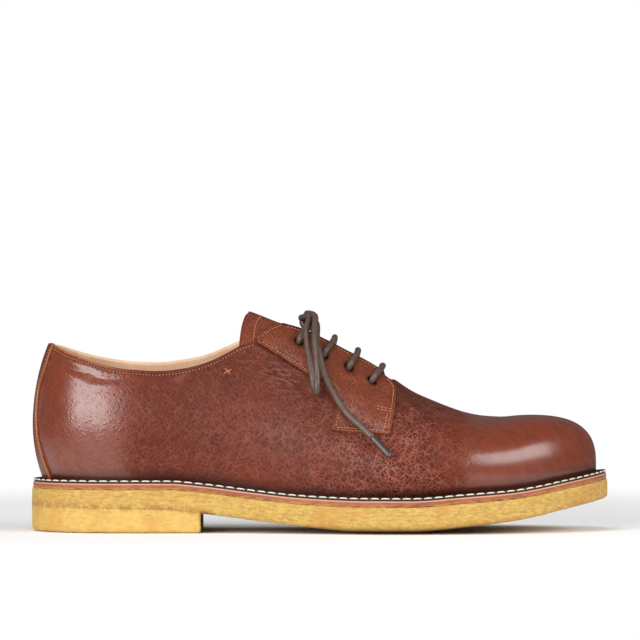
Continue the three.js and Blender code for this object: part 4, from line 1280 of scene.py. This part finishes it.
rim_faces = grid_faces(COLUMNS, RIM_STEPS + 1, offset=rim_offset, wrap=True)
between = cut & np.roll(cut, -1)
rim_faces = rim_faces.reshape(COLUMNS, RIM_STEPS, 4)[between].reshape(-1, 4)
rim_is_lining = np.tile(np.arange(RIM_STEPS) >= 2, int(between.sum()))
all_points = np.vstack([outside.reshape(-1, 3), inside.reshape(-1, 3), rim.reshape(-1, 3)])
all_faces = np.vstack([outer_faces, inner_faces, rim_faces])
face_materials = np.concatenate([np.zeros(len(outer_faces)), np.ones(len(inner_faces)), rim_is_lining])
edge_distance = np.linalg.norm(outside - outside[:, -1:], axis=-1)
# Painted shade along the stitch line beside the collar and throat edges.
seam = bell(edge_distance, 1.3, 0.5) * 0.75 * (end < 0.97)[:, None]
layer_values = leather_layers(outside, seam)
blank = np.zeros(len(all_points) - outside.shape[0] * outside.shape[1])
layers = {name: np.concatenate([value.ravel(), blank]) for name, value in layer_values.items()}
rim_x = all_points[rim_offset:, 0]
layers["edge"] = np.concatenate([0 * all_points[:rim_offset, 0], 0.8 * (1 - eased(rim_x, -120, -90))])
add_piece(
    "upper_shell",
    all_points,
    all_faces,
    [UPPER_LEATHER, LINING],
    ["upper"],
    face_materials=face_materials,
    layers=layers,
)


# Welt and insole follow the upper's wall.
def wall_reach(offset, height):
    """Reach along each ray of the upper's wall, moved by an offset, at a height over the seat."""
    rise = LOWER_PART * 0.02
    low, normal_low = skin_at(TURNS, 0 * TURNS)
    high, normal_high = skin_at(TURNS, rise + 0 * TURNS + 0.02)
    low, high = low + normal_low * offset, high + normal_high * offset
    level = height(low[:, 0])
    share = (level - low[:, 2]) / (high[:, 2] - low[:, 2])
    place = low + (high - low) * share[:, None]
    return (place[:, 0] - sole_rays.x) * sole_rays.dx + (place[:, 1] - sole_rays.y) * sole_rays.dy


def welt_low(x):
    return seat(x) + 0.02


def welt_high(x):
    return seat(x) + GAP + WELT_THICKNESS


welt_rows = [(wall_reach(-0.2, welt_high), welt_high(sole_rays.x + sole_rays.dx * sole_rays.foot))]
for tuck, drop in ((0.9, 0.0), (0.45, 0.02), (0.15, 0.15), (0.0, 0.45), (0.0, 0.9), (0.1, 1.3)):
    welt_rows.append(row_at(welt_reach - tuck, lambda x, drop=drop: welt_high(x) - drop))
welt_rows.append(row_at(welt_reach - 0.15, welt_low))
welt_rows.append((wall_reach(-0.2, welt_low), welt_low(sole_rays.x + sole_rays.dx * sole_rays.foot)))
add_band("welt_band", "welt", welt_rows, WELT_EDGE)


def insole_low(x):
    return seat(x) + GAP


def insole_high(x):
    return seat(x) + GAP + INSOLE_THICKNESS


insole_edge = wall_reach(-WALL - 0.05, insole_high)
insole_rows = [
    row_at(0 * midsole_reach, insole_high),
    row_at(insole_edge * 0.5, insole_high),
    row_at(insole_edge - 1.2, insole_high),
    row_at(insole_edge - 0.3, lambda x: insole_high(x) - 0.1),
    row_at(insole_edge, lambda x: insole_high(x) - 0.6),
    row_at(wall_reach(-WALL - 0.05, insole_low), insole_low),
    row_at(0 * midsole_reach, insole_low),
]
add_band("sock_insole", "insole", insole_rows, LINING)


# Facings: cut from the side view, laid on the upper
ARC = 100  # millimetres over the leather for a whole rise
FACING_TOP = GAP + FACING_THICKNESS
EDGE_ROUNDING = 0.45
# Steps of the facing's rounded edge: away from the face's rim, and down.
RIM_PROFILE = [(0.25, 0.04), (0.38, 0.2), (EDGE_ROUNDING, 0.5), (EDGE_ROUNDING, 1.1), (EDGE_ROUNDING, 1.9)]
GRID_SPACING = 0.95
SEAM_INSET = 1.6
THROAT_SEAM_INSET = 2.6
SECOND_ROW_INSET = 3.2


def rise_of(x, height, side):
    return rays_across(x, side).rise_at_height(height)


def under_outline(view, side):
    """The x and rise under points of the side view that lie on the facing's upper face."""
    x, rise = view[:, 0], rise_of(view[:, 0], view[:, 1], side)
    for _ in range(4):
        normals = side_skin(x, rise, side)[1]
        base = view - normals[:, [0, 2]] * FACING_TOP
        x, rise = base[:, 0], rise_of(base[:, 0], base[:, 1], side)
    return np.stack([x, rise], 1)


def facing_edges(side):
    """The runs of a facing's outline, as points of x and rise: rear, bottom, front, throat, collar."""
    corners = np.array([(float(to_x(along)), up * INSTEP_HEIGHT) for along, up in FACING_OUTLINE])
    rear_view = evenly(spline(corners[:10], 8), 0.8)
    bottom_view = evenly(corners[9:11], 0.8)
    front_view = evenly(spline(corners[10:], 8), 0.8)
    runs = [under_outline(view, side) for view in (rear_view, bottom_view, front_view)]
    front = runs[2]
    runs[2] = front = front[front[:, 1] < throat_rise(rays_across(front[:, 0], side))]
    x = np.linspace(runs[0][0, 0], front[-1, 0], 400)
    rays = rays_across(x, side)
    collar, throat = collar_rise(rays), throat_rise(rays)
    top = np.stack([x, np.minimum(collar, throat)], 1)
    split = int(np.argmax(throat < collar))
    throat_run, collar_run = top[split:][::-1], top[: split + 1][::-1]
    scale = np.array([1, ARC])
    throat_run = evenly(throat_run * scale, 0.8) / scale
    collar_run = evenly(collar_run * scale, 0.8) / scale
    runs[2] = np.vstack([front[:-1], throat_run[:1]])
    runs[0] = np.vstack([collar_run[-1:], runs[0][1:]])
    return runs + [throat_run, collar_run]


def inset(loop, distance):
    """A closed loop of flat points moved inwards, whichever way it runs."""
    along = unit(np.roll(loop, -1, 0) - np.roll(loop, 1, 0))
    normal = np.stack([-along[:, 1], along[:, 0]], 1)
    x, y = loop.T
    area = np.sum(x * np.roll(y, -1) - np.roll(x, -1) * y)
    return loop + normal * distance * np.sign(area)


def inside_loop(points, loop):
    """Whether each flat point lies inside a closed loop."""
    x, y = points[:, 0, None], points[:, 1, None]
    ax, ay = loop.T
    bx, by = np.roll(loop, -1, 0).T
    spans = (ay > y) != (by > y)
    crossing = ax + (y - ay) * (bx - ax) / np.where(by == ay, 1e-12, by - ay)
    return np.sum(spans & (x < crossing), 1) % 2 == 1


def loop_distance(points, loop):
    """Distance of flat points to a closed loop."""
    a, b = loop, np.roll(loop, -1, 0)
    edge = b - a
    best = np.full(len(points), 1e9)
    for start, run in zip(a, edge):
        t = np.clip(((points - start) @ run) / max(run @ run, 1e-12), 0, 1)
        best = np.minimum(best, np.linalg.norm(points - start - t[:, None] * run, axis=1))
    return best


def facing_piece(side, word):
    """One facing with its punched holes and rounded edge. Returns the runs of its outline."""
    scale = np.array([1, ARC])
    runs = facing_edges(side)
    loop = np.vstack([run[:-1] for run in runs]) * scale
    holes = []
    for along, reach, _ in EYELETS:
        x = float(to_x(along))
        rise = float(rays_across(x, side).rise_at_reach(reach * SOLE_WIDTH))
        turn = np.arange(20) / 20 * math.tau
        circle = np.stack([x + EYELET / 2 * np.cos(turn), rise * ARC + EYELET / 2 * np.sin(turn)], 1)
        holes.append(circle)
    rim_loop = inset(loop, EDGE_ROUNDING)
    xs = np.arange(loop[:, 0].min(), loop[:, 0].max(), GRID_SPACING)
    ys = np.arange(loop[:, 1].min(), loop[:, 1].max(), GRID_SPACING)
    grid = np.stack(np.meshgrid(xs, ys), -1).reshape(-1, 2)
    grid = grid[inside_loop(grid, rim_loop)]
    grid = grid[loop_distance(grid, rim_loop) > 0.45]
    for circle in holes:
        grid = grid[np.linalg.norm(grid - circle.mean(0), axis=1) > EYELET / 2 + 0.45]
    flat = np.vstack([rim_loop] + holes + [grid])
    edges, start = [], 0
    for ring in [rim_loop] + holes:
        count = len(ring)
        edges += [(start + i, start + (i + 1) % count) for i in range(count)]
        start += count
    result = delaunay_2d_cdt([Vector(p) for p in flat], edges, [], 0, 1e-6)
    flat = np.array([tuple(p) for p in result[0]])
    faces = np.array([face for face in result[2] if len(face) == 3])
    middles = flat[faces].mean(1)
    keep = inside_loop(middles, rim_loop)
    for circle in holes:
        keep &= ~inside_loop(middles, circle)
    faces = faces[keep]
    first = [index[0] if index else -1 for index in result[3]]
    at = {original: i for i, original in enumerate(first) if original >= 0}
    skin, normals = side_skin(flat[:, 0], flat[:, 1] / ARC, side)
    skin = skin + normals * relief(skin)[:, None]
    edge_distance = loop_distance(flat, loop)
    hole_distance = np.min([np.linalg.norm(flat - c.mean(0), axis=1) for c in holes], axis=0) - EYELET / 2
    height = FACING_TOP - 0.16 * bell(edge_distance, SEAM_INSET, 0.5)
    height = height + 0.12 * bell(edge_distance, 0.75, 0.5) - 0.35 * np.exp(-hole_distance / 0.8)
    top = skin + normals * height[:, None]
    corners = flat[faces]
    area = np.cross(corners[:, 1] - corners[:, 0], corners[:, 2] - corners[:, 0])
    faces = np.where(((area > 0) == (side < 0))[:, None], faces, faces[:, ::-1])
    points, all_faces = [top], [tuple(face) for face in faces]
    total = len(top)
    # Painted shade along the stitch row and around the punched holes.
    dark = 0.55 * bell(edge_distance, SEAM_INSET, 0.45) + 0.8 * np.exp(-hole_distance / 0.7)
    # Painted shade along the throat's edge, standing in for the shaded tongue beyond it.
    under_throat = (throat_rise(rays_across(flat[:, 0], side)) - flat[:, 1] / ARC) * ARC
    dark = dark + 0.8 * (1 - eased(under_throat, 0.8, 1.9)) * eased(flat[:, 0], -34, -30)
    layer_dark = [np.clip(dark, 0, 1)]
    pale = [np.zeros(total)]
    start = 0
    shows_cut = (flat[:, 0] > 8.5) & (under_throat > 1.2)
    for ring_index, ring in enumerate([loop] + holes):
        count = len(ring)
        rim = np.array([at[start + i] for i in range(count)])
        start += count
        base, normal = skin[rim], normals[rim]
        along = unit(np.roll(base, -1, 0) - np.roll(base, 1, 0))
        out = unit(np.cross(along, normal))
        centre = base[:, None].mean(0)
        if np.mean(np.sum(out * (base - centre), 1)) < 0:
            out = -out
        if ring_index:
            out = -out
        previous = rim
        for step, (away, down) in enumerate(RIM_PROFILE):
            level = height[rim] - down
            ring_points = base + out * away + normal * level[:, None]
            new = total + np.arange(count)
            points.append(ring_points)
            # Painted shade inside the holes, on the lower steps of the outer edge and along the throat.
            shade = 0.9 if ring_index else 0.35 if step > 2 else 0.0
            layer_dark.append(np.maximum(shade, 0.85 * (under_throat[rim] < 0.9)))
            cut_share = 0.0 if ring_index else 0.6 if 0 < step < 4 else 0.2
            pale.append(cut_share * shows_cut[rim])
            for i in range(count):
                j = (i + 1) % count
                quad = (previous[i], new[i], new[j], previous[j])
                all_faces.append(tuple(int(v) for v in quad))
            previous = new
            total += count
    points = np.vstack(points)
    layers = leather_layers(points)
    layers["edge"] = np.concatenate(pale)
    layers["warm"] = 0.75 + np.zeros(len(points))
    layers["dark"] = np.concatenate(layer_dark)
    layers["grain"] = 0.42 * np.ones(len(points))
    piece = add_piece(
        f"facing_leather_{word}",
        points,
        all_faces,
        [FACING_LEATHER],
        [f"facing_{word}"],
        layers=layers,
    )
    fix_normals(piece)
    return runs


facing_runs = {side: facing_piece(side, word) for side, word in ((-1, "outer"), (1, "inner"))}


# Back strap
STRAP_ROWS, STRAP_COLUMNS = 70, 25
strap_bottom = float(seat(to_x(0))) + GAP + WELT_THICKNESS
strap_share = np.linspace(0, 1, STRAP_ROWS)


def strap_turn(height, side):
    """Turn at which the strap's front edge lies, at heights over the floor."""
    low, high = np.zeros(len(height)), np.full(len(height), 0.2)
    target = to_x(strap_back(height / BACK_HEIGHT))
    for _ in range(24):
        middle = (low + high) / 2
        rays = rays_at(-side * middle)
        x = rays.skin(rays.rise_at_height(height))[:, 0]
        low, high = np.where(x < target, middle, low), np.where(x < target, high, middle)
    return -side * high


strap_heights = strap_bottom + (BACK_HEIGHT - 0.6 - strap_bottom) * strap_share
strap_edges = {side: strap_turn(strap_heights, side) for side in (-1, 1)}
share = np.linspace(0, 1, STRAP_COLUMNS)[None, :]
strap_turns = strap_edges[-1][:, None] * (1 - share) + strap_edges[1][:, None] * share
strap_rays = rays_at(strap_turns)
strap_top = np.minimum(collar_rise(strap_rays, 0.6), 1)
collar_line = strap_rays.skin(strap_top)[..., 2]
heights = strap_bottom + (collar_line - strap_bottom) * strap_share[:, None]
strap_rise = strap_rays.rise_at_height(heights)
step = 0.004
strap_skin = strap_rays.skin(strap_rise)
strap_around = rays_at(strap_turns + step).skin(strap_rise) - rays_at(strap_turns - step).skin(strap_rise)
strap_up = strap_rays.skin(strap_rise + step) - strap_rays.skin(strap_rise - step)
strap_normals = unit(np.cross(strap_around, strap_up))


def sheet_with_rim(skin, normals, top, bottom, rounding):
    """Points and faces of a sheet laid over a grid, with rounded edges down to its underside."""
    rows, columns = skin.shape[:2]
    points = [(skin + normals * top).reshape(-1, 3)]
    faces = [tuple(face) for face in grid_faces(rows, columns)]
    index = np.arange(rows * columns).reshape(rows, columns)
    ring = np.concatenate([index[0, :-1], index[:-1, -1], index[-1, :0:-1], index[:0:-1, 0]])
    base, normal = skin.reshape(-1, 3)[ring], normals.reshape(-1, 3)[ring]
    along = unit(np.roll(base, -1, 0) - np.roll(base, 1, 0))
    out = unit(np.cross(along, normal))
    if np.mean(np.sum(out * (base - base.mean(0)), 1)) < 0:
        out = -out
    total, previous, count = rows * columns, ring, len(ring)
    pale = [np.zeros(total)]
    for away, down, paleness in ((0.6, 0.08, 0.5), (0.9, 0.35, 1.0), (1.0, 1.0, 0.0)):
        level = top - down * rounding if down < 1 else bottom
        points.append(base + out * away * rounding + normal * level)
        new = total + np.arange(count)
        pale.append(np.full(count, paleness))
        for i in range(count):
            j = (i + 1) % count
            faces.append((int(previous[i]), int(new[i]), int(new[j]), int(previous[j])))
        previous, total = new, total + count
    return np.vstack(points), faces, np.concatenate(pale)


strap_points, strap_faces, strap_pale = sheet_with_rim(
    strap_skin, strap_normals, GAP + STRAP_THICKNESS, 0.05, 0.45
)
strap_layers = leather_layers(strap_points)
strap_layers["grain"] = 0.25 + 0 * strap_pale
strap_layers["edge"] = 0.75 * strap_pale
strap_layers["dark"] = 0.25 * (1 - strap_pale)
strap = add_piece(
    "strap_back",
    strap_points,
    strap_faces,
    [FACING_LEATHER],
    ["back_strap"],
    layers=strap_layers,
)
fix_normals(strap)


# Tongue
TONGUE_ROWS, TONGUE_COLUMNS = 100, 61
TONGUE_TOP = -WALL - GAP
TONGUE_INSET = 0.5
column_share = np.linspace(-1, 1, TONGUE_COLUMNS)
column_rise = TONGUE_SIDE + 0.006 + (1 - TONGUE_SIDE - 0.006) * (1 - np.abs(column_share))
column_side = np.where(column_share <= 0, -1, 1)
rear_x = np.full(TONGUE_COLUMNS, float(to_x(0.37)))
for _ in range(30):
    rays = rays_across(rear_x, column_side)
    place = rays.skin(column_rise)
    rear_x = to_x(tongue_back((place[:, 2] + TONGUE_TOP) / BACK_HEIGHT)) + TONGUE_INSET
front_x = float(to_x(TONGUE_FRONT)) - 3
along_share = np.linspace(0, 1, TONGUE_ROWS)[:, None] ** 1.15
tongue_x = rear_x[None, :] + (front_x - rear_x[None, :]) * along_share
tongue_rays = rays_across(tongue_x, column_side[None, :] + 0 * tongue_x)
tongue_rise = column_rise[None, :] + 0 * tongue_x
tongue_skin = tongue_rays.skin(tongue_rise)
around = np.gradient(tongue_skin, axis=0)
across = np.gradient(tongue_skin, axis=1)
tongue_normals = unit(np.cross(around, across))
tongue_normals *= np.sign(tongue_normals[..., 2:3])
tongue_points, tongue_faces, tongue_pale = sheet_with_rim(
    tongue_skin, tongue_normals, TONGUE_TOP, TONGUE_TOP - TONGUE_THICKNESS, TONGUE_INSET
)
under = (tongue_skin + tongue_normals * (TONGUE_TOP - TONGUE_THICKNESS)).reshape(-1, 3)
under_faces = grid_faces(TONGUE_ROWS, TONGUE_COLUMNS, offset=len(tongue_points), flip=True)
tongue_materials = np.concatenate([np.zeros(len(tongue_faces)), np.ones(len(under_faces))])
tongue_faces += [tuple(face) for face in under_faces]
tongue_pale = np.concatenate([tongue_pale, np.zeros(len(under))])
tongue_points = np.vstack([tongue_points, under])
tongue_layers = leather_layers(tongue_points)
tongue_layers["warm"] = 0.55 + 0 * tongue_pale
tongue_layers["edge"] = 0.8 * tongue_pale
tongue_layers["wrinkle"] = 0 * tongue_pale
tongue_layers["dark"] = 0.35 * eased(tongue_points[:, 0], -22, -8)
tongue_layers["grain"] = 0.5 + 0 * tongue_pale
add_piece(
    "tongue_leather",
    tongue_points,
    tongue_faces,
    [FACING_LEATHER, LINING],
    ["tongue"],
    face_materials=tongue_materials,
    layers=tongue_layers,
)


# Stitches
def stitches(name, rows, pitch, length, width, height, material, sides=8, rings=7):
    """Short threads along rows of points; each row comes with the normals of what it lies on.

    Pitch, length, width and height are those of one stitch, in millimetres.
    """
    turn = np.arange(sides) / sides * math.tau
    along = np.sin(np.linspace(-1, 1, rings) * math.pi / 2)
    girth = np.sqrt(np.clip(1 - np.abs(along) ** 3.2, 0.0, 1))
    girth[0] = girth[-1] = 0.12
    points, faces, total = [], [], 0
    for line, normals in rows:
        run = np.concatenate([[0], np.cumsum(np.linalg.norm(np.diff(line, axis=0), axis=1))])
        count = max(int(run[-1] / pitch), 1)
        at = (np.arange(count) + 0.5) * run[-1] / count
        centres = np.stack([np.interp(at, run, line[:, k]) for k in range(3)], 1)
        ahead = np.stack([np.interp(at + 0.4, run, line[:, k]) for k in range(3)], 1)
        behind = np.stack([np.interp(at - 0.4, run, line[:, k]) for k in range(3)], 1)
        normal = unit(np.stack([np.interp(at, run, normals[:, k]) for k in range(3)], 1))
        tangent = unit(ahead - behind)
        beside = unit(np.cross(normal, tangent))
        normal = np.cross(tangent, beside)
        for c, t, b, n in zip(centres, tangent, beside, normal):
            for a, g in zip(along, girth):
                dive = -height * 0.9 * a**4
                spot = c + t * (a * length / 2) + n * dive
                ring = np.outer(np.cos(turn) * g * width / 2, b) + np.outer(np.sin(turn) * g * height, n)
                points.append(spot + ring)
            grid = grid_faces(rings, sides + 1)
            grid = total + grid // (sides + 1) * sides + grid % (sides + 1) % sides
            faces += [tuple(int(v) for v in face) for face in grid]
            faces.append(tuple(total + k for k in range(sides)))
            faces.append(tuple(total + (rings - 1) * sides + k for k in reversed(range(sides))))
            total += rings * sides
    return add_piece(name, np.vstack(points), faces, [material])


def inner_line(run, side, distance, lift, towards):
    """A row beside a run of a facing's edge, that far from it, on the side of a given point."""
    skin, normals = side_skin(run[:, 0], run[:, 1], side)
    along = unit(np.gradient(skin, axis=0))
    beside = unit(np.cross(normals, along))
    if np.mean(np.sum(beside * (towards - skin), 1)) < 0:
        beside = -beside
    return skin + beside * distance + normals * lift, normals


seam_rows = []
for side in (-1, 1):
    runs = facing_runs[side]
    centre = side_skin(np.array([8.0]), np.array([0.66]), side)[0][0]
    for k, run in enumerate(runs):
        inset_here = THROAT_SEAM_INSET if k == 3 else SEAM_INSET
        line, normals_here = inner_line(run, side, inset_here, FACING_TOP - 0.12, centre)
        ends = 3
        seam_rows.append((line[ends:-ends], normals_here[ends:-ends]))
    line, normals_here = inner_line(runs[2], side, SECOND_ROW_INSET, FACING_TOP - 0.12, centre)
    low = slice(3, len(runs[2]) // 3)
    seam_rows.append((line[low], normals_here[low]))
    for lift_up in (0.0, 1.2):
        tack_x = np.linspace(to_x(0.5955), to_x(0.6225), 12)
        tack_rise = rise_of(tack_x, np.linspace(62.6, 60.8, 12) + lift_up, side)
        skin_line, tack_normals = side_skin(tack_x, tack_rise, side)
        seam_rows.append((skin_line + tack_normals * (FACING_TOP - 0.05), tack_normals))
stitches("stitches_facing", seam_rows, 1.75, 1.45, 0.5, 0.28, SEAM_THREAD)

collar_turns = np.linspace(-0.44, 0.44, 500)
collar_rows = []
rays = rays_at(collar_turns)
rises_here = collar_rise(rays, WALL / 2 + 1.3)
clear = rays.skin(rises_here)[:, 0] < to_x(FACING_OUTLINE[0][0]) - 1
collar_points, collar_normals = skin_at(collar_turns, rises_here)
collar_points = collar_points + collar_normals * (relief(collar_points) + 0.02)[:, None]
collar_rows.append((collar_points[clear], collar_normals[clear]))
stitches("stitches_collar", collar_rows, 1.7, 1.15, 0.42, 0.2, SEAM_THREAD)

strap_rows = []
for column in (1, STRAP_COLUMNS - 2):
    line = strap_skin[2:-2, column] + strap_normals[2:-2, column] * (GAP + STRAP_THICKNESS - 0.05)
    strap_rows.append((line, strap_normals[2:-2, column]))
stitches("stitches_strap", strap_rows, 1.7, 1.4, 0.45, 0.24, SEAM_THREAD)

TONGUE_HEM = 6.3
hem_x = rear_x + TONGUE_HEM
hem_line = rays_across(hem_x, column_side).skin(column_rise)
hem_row = int(np.argmin(np.abs(tongue_x[:, TONGUE_COLUMNS // 2] - hem_x[TONGUE_COLUMNS // 2])))
hem_normals = tongue_normals[hem_row]
hem_line = hem_line + hem_normals * (TONGUE_TOP + 0.05)
hem_rows = [(hem_line, hem_normals)]
stitches("stitches_tongue", hem_rows, 1.8, 1.45, 0.45, 0.26, SEAM_THREAD)

tack_rows = []
for (x0, z0), (x1, z1) in (((-50.2, 81.0), (-44.2, 84.2)), ((-49.0, 84.4), (-45.6, 80.8))):
    x = np.linspace(x0, x1, 6)
    skin_line, tack_normals = side_skin(x, rise_of(x, np.linspace(z0, z1, 6), -1), -1)
    tack_rows.append((skin_line, tack_normals))
stitches("stitches_tack", tack_rows, 7.5, 5.2, 0.45, 0.22, SEAM_THREAD)

stitch_reach = welt_reach - 0.3
welt_line = sole_rays.at(stitch_reach, welt_high(sole_rays.x + sole_rays.dx * stitch_reach) - 0.5)
welt_line = np.vstack([welt_line, welt_line[:1]])
welt_up = np.tile((0.0, 0.0, 1.0), (len(welt_line), 1))
stitches("stitches_welt", [(welt_line, welt_up)], 5.4, 4.8, 1.2, 0.38, WELT_THREAD, 10, 9)


# Floor: white, and faded into the backdrop
FLOOR_SIZE = 2.4
floor_mesh = bpy.data.meshes.new("floor")
corner = FLOOR_SIZE / 2
corners = [(-corner, -corner, 0), (corner, -corner, 0), (corner, corner, 0), (-corner, corner, 0)]
floor_mesh.from_pydata(corners, [], [(0, 1, 2, 3)])
floor = bpy.data.objects.new("floor", floor_mesh)
floor.location.z = -0.0002
FADE_START, FADE_END = 260, 620
f = Finish("floor_paper")
distance = f.add("ShaderNodeVectorMath", {0: f.place}, operation="LENGTH").outputs["Value"]
f.shade(alpha=f.ranged(distance, FADE_START, FADE_END, 1, 0), normal=f.bump(f.clouds(3.0), 0.01))
f.shade(base_color=(0.92, 0.92, 0.92, 1), roughness=0.9)
floor_mesh.materials.append(f.material)
bpy.context.collection.objects.link(floor)
